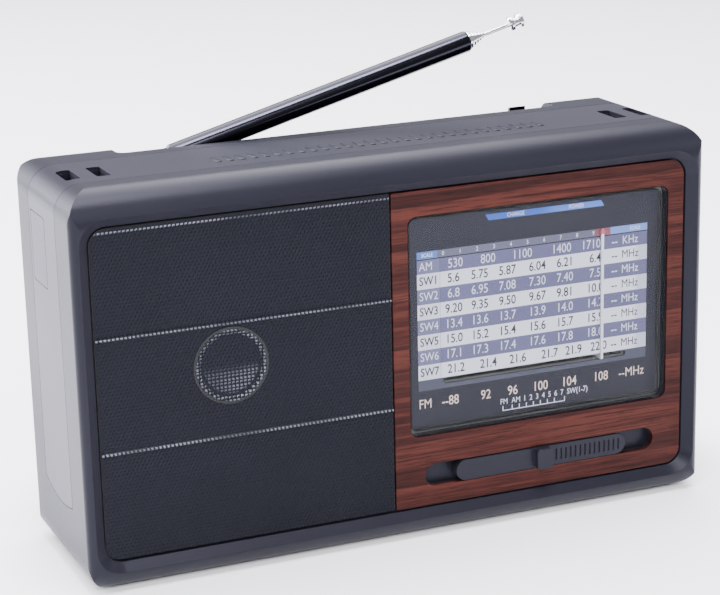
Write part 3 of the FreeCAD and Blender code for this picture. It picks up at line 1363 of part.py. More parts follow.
# ---------------------------------------------------------------- check and write

NODES = [
    front_shell, back_shell, trim_band, side_cover, battery_door, wood, grille, lens, dial, chassis,
    pointer_rail, pointer, drum, *pulley_bodies, capacitor, tuning, tuning_axle, volume, pot, cord,
    slider, switch, board, board_screws, case_screws, led_lamps, ferrite_rod, coil, rod_holders, basket,
    cone, magnet, transformer, inlet, phone, terminals, spring, fork, rivet, washer, *tubes, inner_rod,
    tip, clip,
]

doc.recompute()
for item in doc.Objects:
    if "Invalid" in item.State or "Error" in item.State:
        raise RuntimeError(f"{item.Name} failed: {item.State}")
for node in NODES:
    shape = node.Shape
    if shape.isNull() or not shape.isValid():
        raise RuntimeError(f"{node.Label} has no valid shape")
for node in NODES:
    node.Shape.exportStep(f"parts/{node.Label}.step")
    print(f"{node.Label}: {len(node.Shape.Solids)} solids, {node.Shape.Volume:.0f} mm3")
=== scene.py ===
"""Looks of a portable shortwave receiver: finishes, added pieces, studio and camera."""

import json
import logging
import math
from dataclasses import dataclass
from enum import Enum
from typing import Callable, Iterable, Optional, Union

import bpy
from mathutils import Matrix, Vector


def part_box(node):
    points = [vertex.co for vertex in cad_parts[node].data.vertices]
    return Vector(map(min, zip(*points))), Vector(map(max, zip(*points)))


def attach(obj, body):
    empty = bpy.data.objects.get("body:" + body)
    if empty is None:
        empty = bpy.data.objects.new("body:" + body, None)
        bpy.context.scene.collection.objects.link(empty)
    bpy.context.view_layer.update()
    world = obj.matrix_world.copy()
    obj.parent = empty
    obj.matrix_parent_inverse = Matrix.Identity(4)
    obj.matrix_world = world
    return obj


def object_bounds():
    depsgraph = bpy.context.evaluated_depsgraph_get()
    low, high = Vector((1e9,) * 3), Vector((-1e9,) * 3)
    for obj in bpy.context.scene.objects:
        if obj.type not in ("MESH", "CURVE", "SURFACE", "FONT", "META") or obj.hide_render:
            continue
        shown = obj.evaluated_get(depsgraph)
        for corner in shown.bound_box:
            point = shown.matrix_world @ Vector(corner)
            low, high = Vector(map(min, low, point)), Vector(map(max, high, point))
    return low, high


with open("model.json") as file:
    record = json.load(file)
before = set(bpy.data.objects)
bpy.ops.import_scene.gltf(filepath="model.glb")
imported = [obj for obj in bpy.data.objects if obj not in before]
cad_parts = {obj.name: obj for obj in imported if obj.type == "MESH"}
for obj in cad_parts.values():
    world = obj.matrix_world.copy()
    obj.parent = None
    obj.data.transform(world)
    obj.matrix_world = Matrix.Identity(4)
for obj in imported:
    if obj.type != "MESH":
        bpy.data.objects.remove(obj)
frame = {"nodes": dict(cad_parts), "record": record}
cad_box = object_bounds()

LOG = logging.getLogger("receiver")
MM = 0.001
Colour = tuple[float, float, float, float]


def tint(red: float, green: float, blue: float) -> Colour:
    """An opaque colour from linear red, green and blue."""
    return (red, green, blue, 1.0)


# ------------------------------------------------------------------ shader expressions


@dataclass(frozen=True)
class Field:
    """A number that varies over a surface. Python's operators on it add Math nodes.

    Args:
        paint: the material being written.
        socket: the output socket that carries the number.
    """

    paint: "Paint"
    socket: bpy.types.NodeSocket

    def __add__(self, other: "Number") -> "Field":
        """The sum."""
        return self.paint.maths("ADD", self, other)

    __radd__ = __add__

    def __mul__(self, other: "Number") -> "Field":
        """The product."""
        return self.paint.maths("MULTIPLY", self, other)

    __rmul__ = __mul__

    def __sub__(self, other: "Number") -> "Field":
        """The difference."""
        return self.paint.maths("SUBTRACT", self, other)

    def __rsub__(self, other: "Number") -> "Field":
        """The difference from a plain number."""
        return self.paint.maths("SUBTRACT", other, self)

    def __truediv__(self, other: "Number") -> "Field":
        """The quotient."""
        return self.paint.maths("DIVIDE", self, other)

    def __pow__(self, other: "Number") -> "Field":
        """The power."""
        return self.paint.maths("POWER", self, other)

    def __mod__(self, other: "Number") -> "Field":
        """The remainder, always positive."""
        return self.paint.maths("FLOORED_MODULO", self, other)

    def __lt__(self, other: "Number") -> "Field":
        """One where this is the lesser, and nought elsewhere."""
        return self.paint.maths("LESS_THAN", self, other)

    def __abs__(self) -> "Field":
        """The size without its sign."""
        return self.paint.maths("ABSOLUTE", self, 0.0)


Number = Union[Field, float]
Feed = Union[Field, bpy.types.NodeSocket, float, tuple]


class Paint:
    """One material under construction, with its nodes added by a few plain methods."""

    def __init__(self, name: str) -> None:
        """Starts an empty material.

        Args:
            name: what the finish is called.
        """
        self.material = bpy.data.materials.new(name)
        self.material.use_nodes = True
        self.tree = self.material.node_tree
        self.surface = self.tree.nodes["Principled BSDF"]
        self.output = self.tree.nodes["Material Output"]
        self._places: Optional[tuple[Field, Field, Field]] = None
        self._object: Optional[bpy.types.NodeSocket] = None

    def node(self, kind: str, settings: Optional[dict] = None,
             inputs: Optional[dict] = None) -> bpy.types.Node:
        """Adds a node.

        Args:
            kind: the node's type.
            settings: its properties, set first; "stops" are a ramp's (place, colour) pairs.
            inputs: values or links, by socket name or number.

        Returns:
            The new node.
        """
        made = self.tree.nodes.new(kind)
        for key, value in (settings or {}).items():
            if key == "stops":
                ramp = made.color_ramp
                while len(ramp.elements) < len(value):
                    ramp.elements.new(1.0)
                for element, (place, colour) in zip(ramp.elements, value):
                    element.position = place
                    element.color = colour
            else:
                setattr(made, key, value)
        for key, value in (inputs or {}).items():
            self.feed(made.inputs[key], value)
        return made

    def feed(self, socket: bpy.types.NodeSocket, value: Feed) -> None:
        """Links or sets a socket.

        Args:
            socket: the input.
            value: a field, an output socket or a constant.
        """
        if isinstance(value, Field):
            value = value.socket
        if isinstance(value, bpy.types.NodeSocket):
            self.tree.links.new(value, socket)
        else:
            socket.default_value = value

    def field(self, socket: bpy.types.NodeSocket) -> Field:
        """Wraps an output socket so that it can be used in expressions."""
        return Field(self, socket)

    def maths(self, operation: str, first: Number, second: Number) -> Field:
        """The result of one Math node."""
        made = self.node("ShaderNodeMath", {"operation": operation}, {0: first, 1: second})
        return self.field(made.outputs[0])

    def either(self, first: Number, second: Number) -> Field:
        """The greater of two fields."""
        return self.maths("MAXIMUM", first, second)

    @property
    def object_place(self) -> bpy.types.NodeSocket:
        """The point in the receiver's own frame, in metres."""
        if self._object is None:
            self._object = self.node("ShaderNodeTexCoord").outputs["Object"]
        return self._object

    def places(self) -> tuple[Field, Field, Field]:
        """The point's three coordinates in millimetres."""
        if self._places is None:
            split = self.node("ShaderNodeSeparateXYZ", inputs={0: self.object_place})
            self._places = tuple(self.field(out) * (1 / MM) for out in split.outputs)
        return self._places

    def stretched(self, x: float, y: float, z: float) -> bpy.types.NodeSocket:
        """The object place scaled along each axis, for grain that runs one way."""
        made = self.node("ShaderNodeMapping", {"vector_type": "POINT"},
                         {"Vector": self.object_place, "Scale": (x, y, z)})
        return made.outputs[0]

    def noise(self, scale: float, detail: float = 2.0, rough: float = 0.5, warp: float = 0.0,
              vector: Optional[bpy.types.NodeSocket] = None) -> Field:
        """Fractal noise from nought to one.

        Args:
            scale: features per metre.
            detail: octaves.
            rough: how much the small octaves count.
            warp: distortion.
            vector: the coordinates, or None for the object's own.

        Returns:
            The noise as a field.
        """
        made = self.node("ShaderNodeTexNoise", None, {
            "Vector": vector or self.object_place, "Scale": scale, "Detail": detail,
            "Roughness": rough, "Distortion": warp})
        return self.field(made.outputs["Fac"])

    def step(self, value: Number, edge: float, width: float) -> Field:
        """A smooth step from nought to one about an edge.

        Args:
            value: what is compared.
            edge: where the step is.
            width: how wide it is; negative for a step down.

        Returns:
            The step as a field.
        """
        made = self.node("ShaderNodeMapRange", {"interpolation_type": "SMOOTHSTEP"}, {
            "Value": value, "From Min": edge - width / 2, "From Max": edge + width / 2})
        return self.field(made.outputs[0])

    def between(self, value: Number, low: float, high: float, soft: float = 0.08) -> Field:
        """One from low to high, with edges as wide as soft."""
        return self.step(value, low, soft) * (1.0 - self.step(value, high, soft))

    def mix(self, share: Number, first: Feed, second: Feed) -> bpy.types.NodeSocket:
        """One colour over another.

        Args:
            share: how much of the second.
            first: a colour or a colour socket.
            second: the same.

        Returns:
            The mixed colour's socket.
        """
        made = self.node("ShaderNodeMix", {"data_type": "RGBA"}, {0: share, 6: first, 7: second})
        return made.outputs[2]

    def ramp(self, value: Field, *stops: tuple[float, Colour]) -> bpy.types.NodeSocket:
        """A colour ramp over a field."""
        return self.node("ShaderNodeValToRGB", {"stops": stops}, {0: value}).outputs[0]

    def relief(self, height: Field, depth: float, strength: float = 1.0,
               edge: float = 0.0) -> bpy.types.NodeSocket:
        """A bumped normal.

        Args:
            height: the relief from nought to one.
            depth: its real depth in metres.
            strength: how much of it shows.
            edge: radius in metres of the softened edges under it, or nought.

        Returns:
            The normal's socket.
        """
        inputs = {"Height": height, "Distance": depth, "Strength": strength}
        if edge:
            inputs["Normal"] = self.node("ShaderNodeBevel", {"samples": 4}, {"Radius": edge}).outputs[0]
        return self.node("ShaderNodeBump", None, inputs).outputs[0]

    def dress(self, **sockets: Feed) -> bpy.types.Material:
        """Feeds the Principled shader, whose sockets are named with underscores.

        Returns:
            The finished material.
        """
        for name, value in sockets.items():
            self.feed(self.surface.inputs[name.replace("_", " ")], value)
        return self.material


# ------------------------------------------------------------------ finishes


@dataclass(frozen=True)
class MouldedPlastic:
    """Injection-moulded plastic with a fine eroded grain, soft mottling and rubbed edges."""

    name: str
    colour: Colour
    rubbed: Colour
    rough: float = 0.46
    grain: float = 1700.0
    depth: float = 0.00004
    edge: float = 0.0003
    sheen: float = 0.0
    gloss: float = 0.16
    cast: Colour = tint(0.84, 0.84, 1.0)

    def make(self) -> bpy.types.Material:
        """Returns the material."""
        paint = Paint(self.name)
        _, _, z = paint.places()
        mottle = paint.noise(26.0, 4.0, 0.6)
        handled = paint.noise(7.0, 3.0, 0.55, 0.6)
        grain = paint.noise(self.grain, 2.0, 0.55)
        fleck = paint.step(paint.noise(620.0, 1.0, 0.4), 0.70, 0.05)
        scuffs = paint.step(paint.noise(1.0, 5.0, 0.7, 0.3, paint.stretched(34.0, 34.0, 330.0)), 0.69, 0.05)
        shade = paint.mix(mottle * 0.55 + fleck * 0.12, self.colour, self.rubbed)
        # Lighter grey towards the base, within about five millimetres of it.
        lighter_near_base = paint.step(z, 2.0, -6.0) * 0.10
        colour = paint.mix(scuffs * 0.10 + lighter_near_base, shade, tint(0.10, 0.10, 0.11))
        rough = self.rough + (handled - 0.5) * 0.16 + (grain - 0.5) * 0.10 + scuffs * 0.05
        height = grain * 0.8 + fleck * 0.25
        return paint.dress(
            Base_Color=colour, Roughness=rough, IOR=1.5,
            Specular_IOR_Level=self.gloss, Specular_Tint=self.cast,
            Sheen_Weight=self.sheen, Sheen_Roughness=0.4, Sheen_Tint=tint(0.72, 0.72, 1.0),
            Normal=paint.relief(height, self.depth, 0.55, self.edge))


@dataclass(frozen=True)
class WoodVeneer:
    """Lacquered reddish veneer whose grain runs along the front."""

    name: str
    dark: Colour
    middle: Colour
    light: Colour

    def make(self) -> bpy.types.Material:
        """Returns the material."""
        paint = Paint(self.name)
        sway = paint.stretched(4.5, 4.5, 62.0)
        figure = paint.noise(1.0, 5.0, 0.62, 1.6, sway)
        streaks = paint.noise(1.0, 6.0, 0.72, 0.5, paint.stretched(15.0, 15.0, 760.0))
        pores = paint.step(paint.noise(1.0, 3.0, 0.6, 0.2, paint.stretched(85.0, 85.0, 2600.0)), 0.57, 0.10)
        bands = paint.node("ShaderNodeTexWave", {"bands_direction": "Z", "wave_profile": "SAW"}, {
            "Vector": sway, "Scale": 0.32, "Distortion": 7.5, "Detail": 4.0, "Detail Scale": 0.9,
            "Detail Roughness": 0.62}).outputs["Fac"]
        tone = figure * 0.27 + streaks * 0.66 + paint.field(bands) * 0.12
        wood = paint.ramp(tone, (0.30, self.dark), (0.50, self.middle), (0.62, self.light),
                          (0.72, self.middle), (0.86, self.dark))
        wood = paint.mix(pores * 0.55, wood, self.dark)
        lacquer = paint.noise(60.0, 3.0, 0.5)
        return paint.dress(
            Base_Color=wood, Roughness=0.34 + streaks * 0.10 + pores * 0.12, Coat_Weight=0.02,
            Coat_Roughness=0.2, Specular_IOR_Level=0.07,
            Normal=paint.relief(streaks * 0.5 + pores * -0.5 + lacquer * 0.2, 0.00003, 0.6))


@dataclass(frozen=True)
class GrilleSteel:
    """Black-painted perforated steel, with highlights painted between the holes of its pressed lines and
    ring.

    Lengths are in millimetres.
    """

    name: str
    lines: tuple[float, ...]
    ring: tuple[float, float, float]
    pitch: float
    ring_half: float = 0.75
    line_half: float = 0.34
    hub: float = 2.6
    clear: float = 1.0

    def make(self) -> bpy.types.Material:
        """Returns the material."""
        paint = Paint(self.name)
        x, _, z = paint.places()
        ring_x, ring_z, ring_radius = self.ring
        across, rise = x - ring_x, z - ring_z
        away = (across * across + rise * rise) ** 0.5
        across_dots = paint.step(abs((x / self.pitch) % 1.0 - 0.5), 0.30, -0.16)
        rise_dots = paint.step(abs((z / (self.pitch * math.sqrt(3) / 2)) % 1.0 - 0.5), 0.32, -0.16)
        ring = paint.between(abs(away - (ring_radius - 0.7)), -1.0, self.ring_half, 0.4)
        inside = paint.step(away, ring_radius - self.hub, -0.6) * paint.step(rise, -1.5, -4.0) * 0.55
        # Painted highlight: lighter metal between the holes on the ring, on the lower half of the disc inside
        # it and on the pressed lines.
        painted_highlight = paint.either(ring, inside) * rise_dots
        for line in self.lines:
            along = paint.between(abs(z - line), -1.0, self.line_half, 0.16)
            painted_highlight = paint.either(painted_highlight, along * paint.step(away, ring_radius + self.clear, 1.0))
        patches = paint.step(paint.noise(42.0, 2.0, 0.5), 0.42, 0.28)
        # The painted highlight lightens the colour, adds some metal and lowers the roughness.
        bright = painted_highlight * across_dots * (0.30 + patches * 0.70)
        grain = paint.noise(2600.0, 2.0, 0.6)
        base = paint.mix(paint.noise(30.0, 3.0, 0.6), tint(0.0027, 0.0029, 0.0049),
                         tint(0.0062, 0.0066, 0.0106))
        return paint.dress(
            Base_Color=paint.mix(bright * 0.75, base, tint(0.16, 0.165, 0.20)),
            Metallic=bright * 0.5, Roughness=0.42 + grain * 0.10 - bright * 0.12,
            Specular_IOR_Level=0.10, Specular_Tint=tint(0.80, 0.84, 1.0),
            Normal=paint.relief(grain, 0.00003, 0.5))


@dataclass(frozen=True)
class DustCloth:
    """Near-black woven sheet behind the perforations, painted dark to stand for the shade inside the holes.
    """

    name: str
    thread: float

    def make(self) -> bpy.types.Material:
        """Returns the material."""
        paint = Paint(self.name)
        x, _, z = paint.places()
        warp = abs((x / self.thread) % 1.0 - 0.5)
        weft = abs((z / self.thread) % 1.0 - 0.5)
        weave = warp * weft * 4.0
        fuzz = paint.noise(900.0, 3.0, 0.7)
        return paint.dress(
            Base_Color=paint.mix(weave * 0.6 + fuzz * 0.4, tint(0.003, 0.003, 0.004),
                                 tint(0.012, 0.012, 0.014)),
            Roughness=0.9, Normal=paint.relief(weave + fuzz * 0.3, 0.00008, 0.6))


@dataclass(frozen=True)
class DialLayout:
    """Where things stand on the printed dial, in millimetres of the receiver's own frame."""

    left: float = 6.4
    right: float = 90.0
    top: float = 90.9
    head: float = 4.5
    pitch: float = 5.05
    rows: int = 7
    label_width: float = 8.0
    strip: float = 3.6
    flag_left: float = 70.4
    flag_right: float = 76.2
    legend_left: float = 31.3
    legend_right: float = 73.2
    legend_rise: float = 102.2
    fm_rise: float = 42.9
    switch_rise: float = 39.5
    switch_marks: tuple[float, ...] = (36.6, 40.0, 42.6, 45.2, 47.8, 50.4, 53.0, 55.6, 59.4)


@dataclass(frozen=True)
class DialPrint:
    """The printed dial: a striped table of bands, its scale bar and a blue legend bar."""

    name: str
    plan: DialLayout = DialLayout()

    def make(self) -> bpy.types.Material:
        """Returns the material."""
        paint = Paint(self.name)
        x, _, z = paint.places()
        plan = self.plan
        grain = paint.noise(900.0, 2.0, 0.6)
        cloudy = paint.noise(35.0, 3.0, 0.6)
        slate = paint.mix(cloudy * 0.6 + grain * 0.2, tint(0.010, 0.0095, 0.018), tint(0.017, 0.0165, 0.029))
        wide = paint.between(x, plan.left, plan.right)
        first = plan.top - plan.head
        foot = first - plan.rows * plan.pitch
        stripe = ((first - z) / (2 * plan.pitch)) % 1.0
        light = (stripe < 0.5) * (z < first)
        violet = paint.mix(cloudy, tint(0.112, 0.109, 0.215), tint(0.160, 0.156, 0.280))
        pale = paint.mix(grain * 0.3 + cloudy * 0.3, tint(0.95, 0.95, 1.0), tint(0.84, 0.85, 0.95))
        pale = paint.mix(paint.step(x, plan.right - 4.0, 2.4) * 0.45, pale, tint(0.40, 0.42, 0.56))
        cells = paint.mix(light, violet, pale)
        header = paint.step(x, plan.left + plan.label_width, -0.3) * 0.16
        cells = paint.mix(header, cells, tint(0.34, 0.35, 0.52))
        rule_place = plan.left + plan.label_width
        rule = paint.between(x, rule_place - 0.1, rule_place + 0.15, 0.1) * 0.35
        cells = paint.mix(rule, cells, tint(0.05, 0.05, 0.08))
        face = paint.mix(wide * paint.between(z, foot, plan.top), slate, cells)
        face = paint.mix(wide * paint.between(z, foot - plan.strip, foot), face, tint(0.070, 0.074, 0.105))
        bar = wide * paint.between(z, plan.top + 0.35, plan.top + 2.75)
        scale = paint.mix(paint.step(x, plan.left + 7.2, -0.3), tint(0.14, 0.14, 0.20),
                          tint(0.11, 0.22, 0.56))
        flag = paint.between(x, plan.flag_left, plan.flag_right, 0.5)
        scale = paint.mix(flag, scale, tint(0.30, 0.09, 0.12))
        scale = paint.mix(paint.step(x, plan.flag_right, 0.4), scale, tint(0.22, 0.33, 0.72))
        face = paint.mix(bar, face, scale)
        slant = x + (z - plan.legend_rise) * 0.6
        legend = paint.between(slant, plan.legend_left, plan.legend_right, 0.2) * paint.between(
            z, plan.legend_rise - 1.0, plan.legend_rise + 1.0)
        blue = paint.mix(paint.step(x, 54.0, 9.0), tint(0.048, 0.145, 0.56), tint(0.125, 0.25, 0.74))
        face = paint.mix(legend, face, blue)
        return paint.dress(
            Base_Color=face, Roughness=0.50 + grain * 0.12, Specular_IOR_Level=0.4,
            Normal=paint.relief(grain, 0.00002, 0.3))


@dataclass(frozen=True)
class Ink:
    """Screen-printed ink, a little uneven."""

    name: str
    colour: Colour
    thin: Colour
    rough: float = 0.5

    def make(self) -> bpy.types.Material:
        """Returns the material."""
        paint = Paint(self.name)
        blot = paint.noise(1400.0, 3.0, 0.6)
        wear = paint.noise(160.0, 3.0, 0.6)
        return paint.dress(
            Base_Color=paint.mix(blot * 0.3 + wear * 0.3, self.colour, self.thin),
            Roughness=self.rough + blot * 0.1, Normal=paint.relief(blot, 0.00001, 0.4))


@dataclass(frozen=True)
class ClearAcrylic:
    """The clear pane over the dial: seen through, with a gloss that grows at a slant, and edge walls painted
    dark as shade.
    """

    name: str

    def make(self) -> bpy.types.Material:
        """Returns the material."""
        paint = Paint(self.name)
        hairs = paint.step(paint.noise(1.0, 4.0, 0.6, 0.4, paint.stretched(30.0, 30.0, 900.0)), 0.66, 0.06)
        smear = paint.noise(22.0, 3.0, 0.6)
        slant = paint.field(paint.node("ShaderNodeFresnel", None, {"IOR": 1.45}).outputs[0])
        facing = paint.node("ShaderNodeSeparateXYZ", inputs={
            0: paint.node("ShaderNodeTexCoord").outputs["Normal"]}).outputs["Y"]
        # The pane's edge walls are made mostly opaque near-black: painted shade along its edge.
        rim = paint.step(abs(paint.field(facing)), 0.6, -0.3)
        paint.dress(Base_Color=tint(0.02, 0.022, 0.03), Roughness=0.06 + smear * 0.06 + hairs * 0.12,
                    Specular_IOR_Level=0.5, Normal=paint.relief(smear, 0.00003, 0.15))
        clear = paint.node("ShaderNodeBsdfTransparent", None, {"Color": tint(0.97, 0.975, 0.99)})
        blend = paint.node("ShaderNodeMixShader", None, {
            0: paint.either(0.035 + slant * 0.75 + hairs * 0.02, rim * 0.85),
            1: clear.outputs[0], 2: paint.surface.outputs[0]})
        paint.feed(paint.output.inputs["Surface"], blend.outputs[0])
        return paint.material


@dataclass(frozen=True)
class PlatedMetal:
    """Plated or bare metal with faint draw lines along one axis, smudges and pits."""

    name: str
    colour: Colour
    dull: Colour
    rough: float
    lines: tuple[float, float, float] = (60.0, 900.0, 900.0)
    coat: float = 0.0
    bright_foot: Optional[tuple[float, float]] = None

    def make(self) -> bpy.types.Material:
        """Returns the material."""
        paint = Paint(self.name)
        drawn = paint.noise(1.0, 4.0, 0.6, 0.0, paint.stretched(*self.lines))
        smudge = paint.noise(48.0, 4.0, 0.6, 0.8)
        pits = paint.step(paint.noise(1500.0, 1.0, 0.5), 0.72, 0.05)
        colour = paint.mix(smudge * 0.35 + pits * 0.5, self.colour, self.dull)
        if self.bright_foot:
            start, reach = self.bright_foot
            foot = paint.step(paint.places()[0], start + reach, -0.6)
            colour = paint.mix(foot, colour, tint(0.72, 0.73, 0.75))
        return paint.dress(
            Base_Color=colour, Metallic=1.0,
            Roughness=self.rough + (smudge - 0.4) * 0.12 + drawn * 0.05 + pits * 0.1,
            Coat_Weight=self.coat, Coat_Roughness=0.06,
            Normal=paint.relief(drawn + pits * -0.6, 0.00001, 0.35))


@dataclass(frozen=True)
class Layered:
    """Material seen as fine parallel layers: windings, laminations or twisted fibre."""

    name: str
    colour: Colour
    gap: Colour
    pitch: float
    along: str
    rough: float
    metal: float = 0.0

    def make(self) -> bpy.types.Material:
        """Returns the material."""
        paint = Paint(self.name)
        place = paint.places()["XYZ".index(self.along)]
        turn = abs((place / self.pitch) % 1.0 - 0.5) * 2.0
        groove = paint.step(turn, 0.75, 0.3)
        stain = paint.noise(120.0, 4.0, 0.6)
        return paint.dress(
            Base_Color=paint.mix(groove * 0.8 + stain * 0.2, self.colour, self.gap),
            Metallic=self.metal, Roughness=self.rough + stain * 0.15,
            Normal=paint.relief(1.0 - turn, self.pitch * MM * 0.25, 0.7))


@dataclass(frozen=True)
class Laminate:
    """Circuit board: woven glass laminate under green mask with copper tracks."""

    name: str

    def make(self) -> bpy.types.Material:
        """Returns the material."""
        paint = Paint(self.name)
        x, _, z = paint.places()
        weave = abs((x / 0.5) % 1.0 - 0.5) + abs((z / 0.5) % 1.0 - 0.5)
        cells = paint.node("ShaderNodeTexVoronoi", {"distance": "MANHATTAN", "feature": "DISTANCE_TO_EDGE"},
                           {"Vector": paint.object_place, "Scale": 170.0})
        track = paint.step(paint.field(cells.outputs["Distance"]), 0.12, -0.04)
        mask = paint.mix(weave * 0.5, tint(0.010, 0.070, 0.022), tint(0.016, 0.110, 0.035))
        return paint.dress(
            Base_Color=paint.mix(track * 0.8, mask, tint(0.12, 0.30, 0.10)), Roughness=0.36 + weave * 0.1,
            Coat_Weight=0.3, Normal=paint.relief(track + weave * 0.2, 0.00003, 0.5))


@dataclass(frozen=True)
class Mottled:
    """Plain material of two blended tones with a soft tooth: paper, ferrite or a lamp."""

    name: str
    colour: Colour
    other: Colour
    scale: float
    rough: float
    glow: float = 0.0

    def make(self) -> bpy.types.Material:
        """Returns the material."""
        paint = Paint(self.name)
        cloud = paint.noise(self.scale, 5.0, 0.65)
        tooth = paint.noise(self.scale * 9.0, 3.0, 0.6)
        return paint.dress(
            Base_Color=paint.mix(cloud * 0.7 + tooth * 0.3, self.colour, self.other),
            Roughness=self.rough + tooth * 0.12, Emission_Color=self.colour,
            Emission_Strength=self.glow, Normal=paint.relief(tooth + cloud, 0.00006, 0.6))


# ------------------------------------------------------------------ modelling by hand


class Bench:
    """Short hand-modelling moves on the active mesh."""

    @staticmethod
    def clear() -> None:
        """Leaves object mode and deselects everything."""
        if bpy.context.object and bpy.context.object.mode != "OBJECT":
            bpy.ops.object.mode_set(mode="OBJECT")
        bpy.ops.object.select_all(action="DESELECT")

    @staticmethod
    def take(name: str) -> bpy.types.Object:
        """Names the object just added and returns it.

        Args:
            name: the piece's name.

        Returns:
            The active object.
        """
        made = bpy.context.object
        made.name = name
        made.data.name = name
        return made

    @staticmethod
    def pick(piece: bpy.types.Object, test: Callable[[Vector], bool], kind: str = "VERT") -> int:
        """Selects vertices or whole faces of a piece by where they are, and enters edit mode.

        Args:
            piece: the mesh.
            test: says whether a point is wanted.
            kind: VERT or FACE.

        Returns:
            How many were selected.
        """
        Bench.only(piece)
        bpy.ops.object.mode_set(mode="EDIT")
        bpy.ops.mesh.select_mode(type=kind)
        bpy.ops.mesh.select_all(action="DESELECT")
        bpy.ops.object.mode_set(mode="OBJECT")
        group = piece.data.vertices if kind == "VERT" else piece.data.polygons
        found = [element for element in group if test(element.co if kind == "VERT" else element.center)]
        for element in found:
            element.select = True
        bpy.ops.object.mode_set(mode="EDIT")
        return len(found)

    @staticmethod
    def only(piece: bpy.types.Object) -> None:
        """Makes one piece the selected and active object."""
        Bench.clear()
        piece.select_set(True)
        bpy.context.view_layer.objects.active = piece

    @staticmethod
    def array(piece: bpy.types.Object, count: int, step: tuple[float, float, float]) -> None:
        """Repeats a piece in a row and welds the copies.

        Args:
            piece: the mesh.
            count: copies in all.
            step: the offset of each.
        """
        Bench.only(piece)
        row = piece.modifiers.new("row", "ARRAY")
        row.count = count
        row.use_relative_offset = False
        row.use_constant_offset = True
        row.constant_offset_displace = step
        row.use_merge_vertices = True
        row.merge_threshold = 0.00001
        bpy.ops.object.modifier_apply(modifier=row.name)

    @staticmethod
    def trim(piece: bpy.types.Object, point: Vector, outward: Vector) -> None:
        """Cuts off what lies outward of a plane.

        Args:
            piece: the mesh.
            point: a point of the plane.
            outward: the side that goes.
        """
        Bench.only(piece)
        bpy.ops.object.mode_set(mode="EDIT")
        bpy.ops.mesh.select_all(action="SELECT")
        bpy.ops.mesh.bisect(plane_co=point, plane_no=outward, clear_outer=True, threshold=0.00001)
        bpy.ops.object.mode_set(mode="OBJECT")

    @staticmethod
    def settle(piece: bpy.types.Object, angle: float = math.radians(35)) -> bpy.types.Object:
        """Puts a piece's place into its mesh and shades it.

        Args:
            piece: the mesh.
            angle: edges flatter than this are smooth.

        Returns:
            The piece.
        """
        Bench.only(piece)
        bpy.ops.object.transform_apply(location=True, rotation=True, scale=True)
        bpy.ops.object.shade_smooth_by_angle(angle=angle)
        return piece

    @staticmethod
    def join(pieces: list[bpy.types.Object], name: str) -> bpy.types.Object:
        """Joins several meshes into one.

        Args:
            pieces: the meshes.
            name: the joined piece's name.

        Returns:
            The joined piece.
        """
        Bench.clear()
        for piece in pieces:
            piece.select_set(True)
        bpy.context.view_layer.objects.active = pieces[0]
        if len(pieces) > 1:
            bpy.ops.object.join()
        return Bench.take(name)


def report(piece: bpy.types.Object) -> None:
    """Logs a piece and how many faces it has."""
    LOG.info("%s: %d faces", piece.name, len(piece.data.polygons))


def install(piece: bpy.types.Object, body: str, material: bpy.types.Material) -> bpy.types.Object:
    """Gives a new piece its material and body, and logs it.

    Args:
        piece: the finished mesh.
        body: the CAD body it moves with.
        material: its finish.

    Returns:
        The piece.
    """
    piece.data.materials.clear()
    piece.data.materials.append(material)
    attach(piece, body)
    report(piece)
    return piece


# ------------------------------------------------------------------ sub-assemblies


